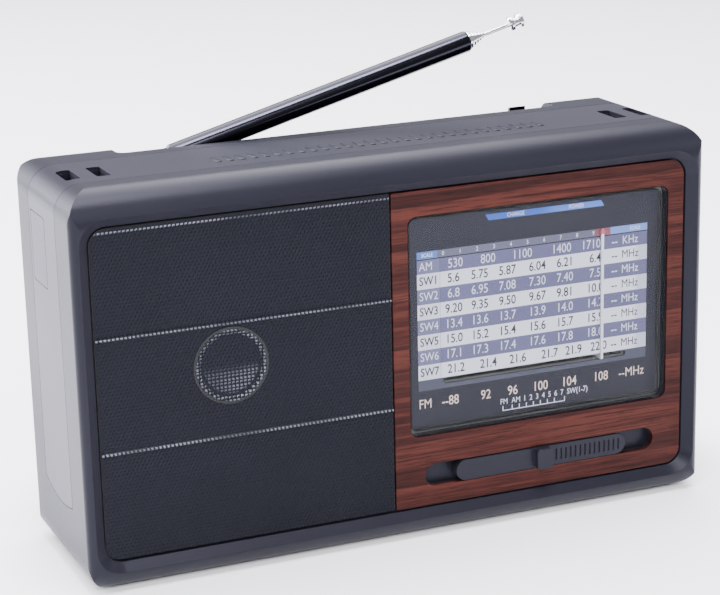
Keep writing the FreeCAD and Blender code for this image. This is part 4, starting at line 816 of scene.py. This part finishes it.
@dataclass
class PerforatedFront:
    """The perforated sheet over the loudspeaker, with its pressed lines and ring.

    Lengths are in metres, heights above the base.
    """

    pitch: float = 1.3 * MM
    hole: float = 0.41 * MM
    sheet: float = 0.25 * MM
    proud: float = 0.3 * MM
    pressed: float = 0.5 * MM
    corner: float = 5.3 * MM
    lines: tuple[float, ...] = (44.2 * MM, 80.4 * MM)
    ring_across: float = -58.3 * MM
    ring_rise: float = 67.0 * MM
    ring_radius: float = 11.5 * MM

    def cell(self, corner: Vector) -> bpy.types.Object:
        """One hexagon of sheet round one hole, with the hole's wall.

        Args:
            corner: the middle of the first hole.

        Returns:
            The cell.
        """
        Bench.clear()
        bpy.ops.mesh.primitive_circle_add(vertices=6, radius=self.hole, fill_type="NOTHING",
                                          location=corner, rotation=(math.pi / 2, 0.0, 0.0))
        cell = Bench.take("speaker_mesh")
        bpy.ops.object.transform_apply(location=True, rotation=True, scale=True)
        bpy.ops.object.mode_set(mode="EDIT")
        bpy.ops.mesh.select_all(action="SELECT")
        bpy.ops.mesh.extrude_edges_move(TRANSFORM_OT_translate={"value": (0.0, self.sheet, 0.0)})
        bpy.ops.object.mode_set(mode="OBJECT")
        Bench.pick(cell, lambda point: point.y < corner.y + self.sheet / 2)
        bpy.ops.mesh.extrude_edges_move()
        grow = self.pitch / math.sqrt(3) / self.hole
        bpy.ops.transform.resize(value=(grow, 1.0, grow), center_override=corner)
        bpy.ops.object.mode_set(mode="OBJECT")
        return cell

    def build(self, material: bpy.types.Material) -> bpy.types.Object:
        """Makes, presses and dresses the sheet.

        Args:
            material: its finish.

        Returns:
            The sheet.
        """
        low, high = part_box("speaker_grille")
        face = low.y + self.pressed - self.proud
        row = self.pitch * math.sqrt(3) / 2
        across = math.ceil((high.x - low.x) / self.pitch) + 2
        pairs = math.ceil((high.z - low.z) / row / 2) + 1
        sheet = self.cell(Vector((low.x - self.pitch / 2, face, low.z - row / 2)))
        Bench.array(sheet, 2, (self.pitch / 2, 0.0, row))
        Bench.array(sheet, across, (self.pitch, 0.0, 0.0))
        Bench.array(sheet, pairs, (0.0, 0.0, 2 * row))
        Bench.only(sheet)
        bpy.ops.object.mode_set(mode="EDIT")
        bpy.ops.mesh.select_all(action="SELECT")
        bpy.ops.mesh.remove_doubles(threshold=0.00001)
        bpy.ops.mesh.normals_make_consistent(inside=False)
        bpy.ops.object.mode_set(mode="OBJECT")
        if sum(polygon.normal.y for polygon in sheet.data.polygons) > 0:
            Bench.only(sheet)
            bpy.ops.object.mode_set(mode="EDIT")
            bpy.ops.mesh.flip_normals()
            bpy.ops.object.mode_set(mode="OBJECT")
        self.outline(sheet, low, high)
        self.press(sheet)
        Bench.settle(sheet, math.radians(30))
        return install(sheet, "case", material)

    def outline(self, sheet: bpy.types.Object, low: Vector, high: Vector) -> None:
        """Trims the sheet to its opening, with two rounded corners at the outer end.

        Args:
            sheet: the sheet.
            low: the opening's lowest corner.
            high: its highest corner.
        """
        margin = 0.15 * MM
        for point, outward in (((low.x + margin, 0, 0), (-1, 0, 0)), ((high.x - margin, 0, 0), (1, 0, 0)),
                               ((0, 0, low.z + margin), (0, 0, -1)), ((0, 0, high.z - margin), (0, 0, 1))):
            Bench.trim(sheet, Vector(point), Vector(outward))
        centre_x = low.x + self.corner
        for rise, sign in ((low.z + self.corner, -1), (high.z - self.corner, 1)):
            for turn in (18, 36, 54, 72):
                angle = math.radians(turn)
                outward = Vector((-math.cos(angle), 0.0, sign * math.sin(angle)))
                centre = Vector((centre_x, 0.0, rise))
                Bench.trim(sheet, centre + outward * (self.corner - margin), outward)

    def press(self, sheet: bpy.types.Object) -> None:
        """Raises the two lines and the ring.

        Args:
            sheet: the sheet.
        """
        half = 0.55 * MM

        def away(point: Vector) -> float:
            """Distance from the ring's middle."""
            return math.hypot(point.x - self.ring_across, point.z - self.ring_rise)

        def on_ridge(point: Vector) -> bool:
            """Whether a point lies on a line or on the ring."""
            on_line = any(abs(point.z - line) < half for line in self.lines)
            return on_line or abs(away(point) - self.ring_radius + half) < half

        Bench.pick(sheet, on_ridge)
        bpy.ops.transform.translate(value=(0.0, -self.pressed, 0.0))
        bpy.ops.object.mode_set(mode="OBJECT")


class Tone(Enum):
    """The inks of the dial."""

    WHITE = "white_ink"
    DARK = "dark_ink"
    WARM = "warm_ink"


@dataclass
class DialFigures:
    """The figures and marks printed on the dial. Lengths in millimetres."""

    plan: DialLayout = DialLayout()
    narrow: float = 0.84
    size: float = 4.3
    small: float = 1.9

    def word(self, text: str, x: float, z: float, size: float, face: float,
             middle: bool = True, bold: float = 0.02) -> bpy.types.Object:
        """One printed word as a thin mesh.

        Args:
            text: what it says.
            x: its middle or its left end.
            z: its middle height.
            size: the letter size.
            face: the plane that it is printed on, in metres.
            middle: whether x is the middle.
            bold: how much the strokes are swelled.

        Returns:
            The word.
        """
        Bench.clear()
        bpy.ops.object.text_add(location=(x * MM, face, z * MM), rotation=(math.pi / 2, 0.0, 0.0))
        word = bpy.context.object
        word.data.body = text
        word.data.size = size * MM
        word.data.align_x = "CENTER" if middle else "LEFT"
        word.data.align_y = "CENTER"
        word.data.offset = bold * MM
        word.data.extrude = 0.01 * MM
        word.data.resolution_u = 3
        word.scale = (self.narrow, 1.0, 1.0)
        bpy.ops.object.convert(target="MESH")
        word = bpy.context.object
        bpy.ops.object.transform_apply(location=True, rotation=True, scale=True)
        return word

    def mark(self, x: float, z: float, wide: float, tall: float, face: float) -> bpy.types.Object:
        """One printed tick, with its corners taken off.

        Args:
            x: its middle.
            z: its middle height.
            wide: its width.
            tall: its height.
            face: the plane that it is printed on, in metres.

        Returns:
            The tick.
        """
        Bench.clear()
        bpy.ops.mesh.primitive_plane_add(size=MM, location=(x * MM, face, z * MM),
                                         rotation=(math.pi / 2, 0.0, 0.0))
        tick = bpy.context.object
        tick.scale = (wide, tall, 1.0)
        bpy.ops.object.transform_apply(location=True, rotation=True, scale=True)
        bpy.ops.object.mode_set(mode="EDIT")
        bpy.ops.mesh.select_all(action="SELECT")
        bpy.ops.mesh.bevel(offset=min(wide, tall) * 0.2 * MM, segments=1, affect="VERTICES")
        bpy.ops.object.mode_set(mode="OBJECT")
        return tick

    def band_rows(self, face: float) -> Iterable[tuple[Tone, bpy.types.Object]]:
        """The table's words, row by row.

        Args:
            face: the plane they are printed on.

        Yields:
            Each word with its ink.
        """
        values = (("AM", "530 800 1100 1400 1710"), ("SW1", "5.6 5.75 5.87 6.04 6.21 6.4"),
                  ("SW2", "6.8 6.95 7.08 7.30 7.40 7.5"), ("SW3", "9.20 9.35 9.50 9.67 9.81 10.0"),
                  ("SW4", "13.4 13.6 13.7 13.9 14.0 14.2"), ("SW5", "15.0 15.2 15.4 15.6 15.7 15.9"),
                  ("SW6", "17.1 17.3 17.4 17.6 17.8 18.0"), ("SW7", "21.2 21.4 21.6 21.7 21.9 22.0"))
        places = (((19.9, 31.5, 43.8, 58.1, 69.0),) + ((19.2, 28.5, 38.4, 49.3, 59.4, 70.6),) * 6
                  + ((19.8, 31.4, 42.1, 53.8, 62.7, 72.1),))
        plan = self.plan
        for row, ((label, figures), across) in enumerate(zip(values, places)):
            tone = Tone.WHITE if row % 2 == 0 else Tone.DARK
            middle = plan.head / 2 if row == 0 else plan.head + (row - 0.5) * plan.pitch
            z = plan.top - middle
            bold = 0.0 if tone is Tone.WHITE else 0.045
            yield tone, self.word(label, plan.left + 0.7, z, self.size * 0.92, face, middle=False, bold=bold)
            for text, x in zip(figures.split(), across):
                yield tone, self.word(text, x, z, self.size, face, bold=bold)
            unit = "KHz" if row == 0 else "MHz"
            yield tone, self.word(unit, plan.right - 6.4, z, self.size * 0.92, face, bold=0.0)
            yield tone, self.word("--", plan.right - 12.2, z, self.size, face)

    def build(self, inks: dict[Tone, bpy.types.Material]) -> list[bpy.types.Object]:
        """Prints the dial.

        Args:
            inks: a material for each ink.

        Returns:
            One piece for each ink.
        """
        low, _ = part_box("dial_plate")
        face = low.y - 0.03 * MM
        plan = self.plan
        words: dict[Tone, list[bpy.types.Object]] = {tone: [] for tone in Tone}
        for tone, word in self.band_rows(face):
            words[tone].append(word)
        for text, x in (("FM", 8.7), ("--88", 17.6), ("92", 30.4), ("96", 40.2), ("100", 50.4),
                        ("104", 61.1), ("108", 73.0), ("--MHz", 84.6)):
            bold = 0.0 if "M" in text else 0.03
            words[Tone.WARM].append(self.word(text, x, plan.fm_rise, 4.5, face, bold=bold))
        for text, x in (("FM", 37.0), ("AM", 41.4), ("1", 44.6), ("2", 46.9), ("3", 49.2), ("4", 51.5),
                        ("5", 53.8), ("6", 56.1), ("7", 58.4), ("SW(1-7)", 64.2)):
            bold = 0.0 if "M" in text else 0.02
            words[Tone.WHITE].append(self.word(text, x, plan.switch_rise, 2.7, face, bold=bold))
        for x in plan.switch_marks:
            words[Tone.WHITE].append(self.mark(x, plan.switch_rise - 2.2, 0.35, 1.5, face))
        words[Tone.WHITE].append(self.mark(48.0, plan.switch_rise - 3.0, 23.1, 0.3, face))
        words[Tone.WHITE].append(self.word("CHARGE", 41.5, plan.legend_rise, self.small, face, bold=0.01))
        words[Tone.WHITE].append(self.word("POWER", 63.5, plan.legend_rise, self.small, face))
        for index in range(10):
            words[Tone.WHITE].append(self.word(
                str(index), 15.6 + index * 6.03, plan.top + 1.5, self.small, face))
        words[Tone.WHITE].append(self.word("SCALE", plan.left + 3.6, plan.top + 1.5, 1.7, face))
        words[Tone.WHITE].append(self.word("SCALE", plan.right - 4.6, plan.top + 1.5, 1.7, face))
        made = []
        for tone in Tone:
            piece = Bench.join(words[tone], tone.value.replace("_ink", "_figures"))
            made.append(install(piece, "case", inks[tone]))
        return made


@dataclass
class PointerFlag:
    """The small flag at the head of the dial's needle."""

    wide: float = 1.7 * MM
    tall: float = 2.6 * MM
    thick: float = 0.35 * MM

    def build(self, material: bpy.types.Material) -> bpy.types.Object:
        """Makes the flag.

        Args:
            material: its finish.

        Returns:
            The flag.
        """
        low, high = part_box("dial_pointer")
        place = ((low.x + high.x) / 2, low.y + self.thick / 2, high.z + self.tall * 0.2)
        Bench.clear()
        bpy.ops.mesh.primitive_cylinder_add(vertices=24, radius=0.5, depth=1.0, location=place,
                                            rotation=(math.pi / 2, 0.0, 0.0))
        flag = Bench.take("pointer_flag")
        flag.scale = (self.wide, self.tall, self.thick)
        bpy.ops.object.transform_apply(location=True, rotation=True, scale=True)
        Bench.pick(flag, lambda point: point.y < low.y + self.thick * 0.1, "FACE")
        bpy.ops.mesh.inset(thickness=0.25 * MM, depth=-0.06 * MM)
        bpy.ops.object.mode_set(mode="OBJECT")
        Bench.settle(flag)
        return install(flag, "pointer", material)


@dataclass
class ReliefRow:
    """A row of small raised bars moulded along the top."""

    start: float = -52.0 * MM
    finish: float = 60.0 * MM
    near: float = -8.0 * MM
    far: float = -1.2 * MM
    count: int = 29
    height: float = 0.25 * MM

    def build(self, material: bpy.types.Material) -> bpy.types.Object:
        """Makes the row.

        Args:
            material: its finish.

        Returns:
            The row.
        """
        _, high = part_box("front_shell")
        step = (self.finish - self.start) / (self.count - 1)
        Bench.clear()
        bpy.ops.mesh.primitive_cube_add(size=1.0, location=(self.start, (self.near + self.far) / 2, high.z))
        bar = Bench.take("top_relief")
        bar.scale = (step * 0.42, self.far - self.near, self.height * 2)
        bpy.ops.object.transform_apply(location=True, rotation=True, scale=True)
        bpy.ops.object.mode_set(mode="EDIT")
        bpy.ops.mesh.select_all(action="SELECT")
        bpy.ops.mesh.bevel(offset=self.height * 0.8, segments=2, affect="EDGES")
        bpy.ops.object.mode_set(mode="OBJECT")
        Bench.array(bar, self.count, (step, 0.0, 0.0))
        Bench.settle(bar)
        return install(bar, "case", material)


# ------------------------------------------------------------------ studio


@dataclass
class Softbox:
    """One large soft lamp aimed at the receiver."""

    name: str
    place: tuple[float, float, float]
    size: tuple[float, float]
    power: float
    colour: tuple[float, float, float] = (1.0, 1.0, 1.0)

    def hang(self, target: Vector) -> None:
        """Adds the lamp.

        Args:
            target: what it points at.
        """
        data = bpy.data.lights.new(self.name, "AREA")
        data.shape = "RECTANGLE"
        data.size, data.size_y = self.size
        data.energy = self.power
        data.color = self.colour
        lamp = bpy.data.objects.new(self.name, data)
        bpy.context.scene.collection.objects.link(lamp)
        lamp.location = self.place
        lamp.rotation_euler = (target - Vector(self.place)).to_track_quat("-Z", "Y").to_euler()


@dataclass
class Studio:
    """Pale floor, soft lamps, even surroundings and the camera."""

    place: Vector = Vector((-0.27409, -0.64181, 0.27027))
    azimuth: float = -22.30
    elevation: float = 16.75
    roll: float = -1.56
    lens: float = 110.74
    shift: tuple[float, float] = (0.0307, 0.0554)

    def floor(self) -> None:
        """Lays a wide pale floor at the height the case stands on."""
        Bench.clear()
        bpy.ops.mesh.primitive_grid_add(x_subdivisions=12, y_subdivisions=12, size=8.0,
                                        location=(0.0, 1.0, cad_box[0].z - 0.0002))
        floor = Bench.take("studio_floor")
        paint = Paint("pale_paper")
        cloud = paint.noise(3.0, 3.0, 0.5)
        tooth = paint.noise(700.0, 2.0, 0.5)
        floor.data.materials.append(paint.dress(
            Base_Color=paint.mix(cloud * 0.4, tint(0.92, 0.92, 0.945), tint(0.88, 0.88, 0.915)),
            Roughness=0.75 + tooth * 0.05, Specular_IOR_Level=0.25))

    def lights(self) -> None:
        """Hangs the lamps and sets the surroundings."""
        target = Vector((0.0, 0.0, 0.06))
        for lamp in (Softbox("key_softbox", (-0.45, -1.45, 1.15), (1.2, 0.9), 54.0),
                     Softbox("top_softbox", (-0.08, 0.65, 1.45), (2.0, 1.4), 95.0, (0.95, 0.95, 1.0)),
                     Softbox("side_softbox", (-0.95, 1.10, 0.62), (1.0, 1.0), 50.0, (0.90, 0.90, 1.0)),
                     Softbox("crest_softbox", (-0.02, -0.26, 1.20), (0.45, 0.40), 26.0, (0.95, 0.95, 1.0)),
                     Softbox("fill_softbox", (1.25, -0.9, 0.8), (0.9, 0.9), 10.0)):
            lamp.hang(target)
        world = bpy.data.worlds.new("studio_surround")
        world.use_nodes = True
        world.node_tree.nodes["Background"].inputs[0].default_value = tint(0.95, 0.95, 1.0)
        world.node_tree.nodes["Background"].inputs[1].default_value = 0.45
        bpy.context.scene.world = world

    def camera(self) -> None:
        """Sets the camera up."""
        data = bpy.data.cameras.new("studio_camera")
        data.lens = self.lens
        data.sensor_width = 36.0
        data.shift_x, data.shift_y = self.shift
        data.clip_start, data.clip_end = 0.01, 50.0
        camera = bpy.data.objects.new("studio_camera", data)
        bpy.context.scene.collection.objects.link(camera)
        camera.matrix_world = (
            Matrix.Translation(self.place)
            @ Matrix.Rotation(math.radians(self.azimuth), 4, "Z")
            @ Matrix.Rotation(math.radians(90.0 - self.elevation), 4, "X")
            @ Matrix.Rotation(math.radians(self.roll), 4, "Z"))
        bpy.context.scene.camera = camera


# ------------------------------------------------------------------ finish of each slot


def finishes() -> dict[str, object]:
    """One finish for each material slot of the record.

    Returns:
        Finishes by slot name.
    """
    return {
        "case_plastic": MouldedPlastic("satin_charcoal", tint(0.0052, 0.0051, 0.0084),
                                       tint(0.0102, 0.0100, 0.0155), 0.37, sheen=0.035),
        "band_plastic": MouldedPlastic("band_charcoal", tint(0.0070, 0.0067, 0.0100),
                                       tint(0.0134, 0.0129, 0.0187), 0.33, sheen=0.06),
        "inner_plastic": MouldedPlastic("natural_inner", tint(0.40, 0.39, 0.34), tint(0.50, 0.48, 0.43), 0.5),
        "wheel_plastic": MouldedPlastic("wheel_black", tint(0.006, 0.006, 0.008),
                                        tint(0.012, 0.012, 0.016), 0.40),
        "slider_plastic": MouldedPlastic("slider_black", tint(0.0060, 0.0060, 0.0090),
                                         tint(0.011, 0.011, 0.016), 0.34, sheen=0.03),
        "inlet_plastic": MouldedPlastic("inlet_black", tint(0.006, 0.006, 0.007),
                                        tint(0.011, 0.011, 0.013), 0.5),
        "wood_veneer": WoodVeneer("red_veneer", tint(0.0060, 0.0017, 0.0015),
                                  tint(0.0262, 0.0059, 0.0048), tint(0.060, 0.0154, 0.0110)),
        # The grille plate behind the holes is near-black painted shade.
        "grille_metal": DustCloth("shade_cloth", 0.45),
        "lens_acrylic": ClearAcrylic("clear_acrylic"),
        "dial_print": DialPrint("printed_dial"),
        "pointer_plastic": Ink("pointer_white", tint(0.95, 0.95, 0.97), tint(0.85, 0.85, 0.90), 0.35),
        "steel": PlatedMetal("zinc_steel", tint(0.56, 0.57, 0.58), tint(0.40, 0.39, 0.36), 0.28),
        "chrome": PlatedMetal("bright_chrome", tint(0.78, 0.79, 0.81), tint(0.60, 0.60, 0.62), 0.10),
        "cord_fibre": Layered("dial_cord_fibre", tint(0.50, 0.46, 0.36), tint(0.25, 0.21, 0.15),
                              0.5, "X", 0.8),
        "copper": Layered("enamelled_copper", tint(0.60, 0.22, 0.09), tint(0.16, 0.05, 0.02),
                          0.35, "X", 0.3, 0.9),
        "transformer_iron": Layered("stacked_iron", tint(0.20, 0.19, 0.18), tint(0.06, 0.05, 0.05),
                                    0.5, "Y", 0.45, 0.7),
        "board_laminate": Laminate("circuit_board"),
        "lamp_red": Mottled("lamp_red", tint(0.55, 0.03, 0.02), tint(0.70, 0.10, 0.05), 300.0, 0.25, 0.3),
        "ferrite": Mottled("ferrite_black", tint(0.030, 0.028, 0.027), tint(0.060, 0.056, 0.052),
                           700.0, 0.55),
        "cone_paper": Mottled("cone_paper", tint(0.050, 0.046, 0.042), tint(0.090, 0.083, 0.075),
                              260.0, 0.85),
    }


def dress_nodes() -> None:
    """Gives every CAD node the finish of its slot, and the few that differ their own."""
    slots = {part["node"]: part["material_slot"] for part in frame["record"]["subparts"]}
    made = {slot: finish.make() for slot, finish in finishes().items()}
    pivot = (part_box("antenna_rivet")[0].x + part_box("antenna_rivet")[1].x) / 2 / MM
    # The outer antenna tube is chrome painted near-black for the dark surroundings it reflects, a painted
    # reflection; near the pivot a pale chrome foot stays. The clip shares this finish.
    chrome_painted_dark = PlatedMetal("chrome_painted_dark", tint(0.018, 0.018, 0.026), tint(0.011, 0.011, 0.016), 0.14,
                              coat=0.15, bright_foot=(pivot, 8.0)).make()
    for name, node in frame["nodes"].items():
        material = made[slots[name]]
        if name in ("antenna_tube_1", "antenna_clip"):
            material = chrome_painted_dark
        if node.material_slots:
            for place in node.material_slots:
                place.material = material
        else:
            node.data.materials.append(material)
        LOG.info("%s wears %s", name, material.name)


def main() -> None:
    """Builds the studio, dresses the CAD nodes and adds the pieces they lack."""
    logging.basicConfig(level=logging.INFO, format="%(name)s: %(message)s")
    studio = Studio()
    studio.camera()
    dress_nodes()
    front = PerforatedFront()
    # The steel gets painted highlight rows on the two pressed lines, on a row just under the top edge and on
    # the ring.
    front.build(GrilleSteel(
        "black_perforated_steel",
        tuple(line / MM for line in front.lines) + (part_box("speaker_grille")[1].z / MM - 1.4,),
        (front.ring_across / MM, front.ring_rise / MM, front.ring_radius / MM), front.pitch / MM).make())
    DialFigures().build({
        Tone.WHITE: Ink("white_ink", tint(0.88, 0.88, 0.95), tint(0.70, 0.70, 0.80)).make(),
        Tone.DARK: Ink("dark_ink", tint(0.014, 0.014, 0.022), tint(0.045, 0.045, 0.06)).make(),
        Tone.WARM: Ink("warm_ink", tint(0.92, 0.74, 0.62), tint(0.80, 0.60, 0.50)).make()})
    PointerFlag().build(Ink("pointer_red", tint(0.50, 0.10, 0.12), tint(0.60, 0.22, 0.24), 0.35).make())
    ReliefRow().build(bpy.data.materials["satin_charcoal"])
    studio.floor()
    studio.lights()


if __name__ == "__main__":
    main()
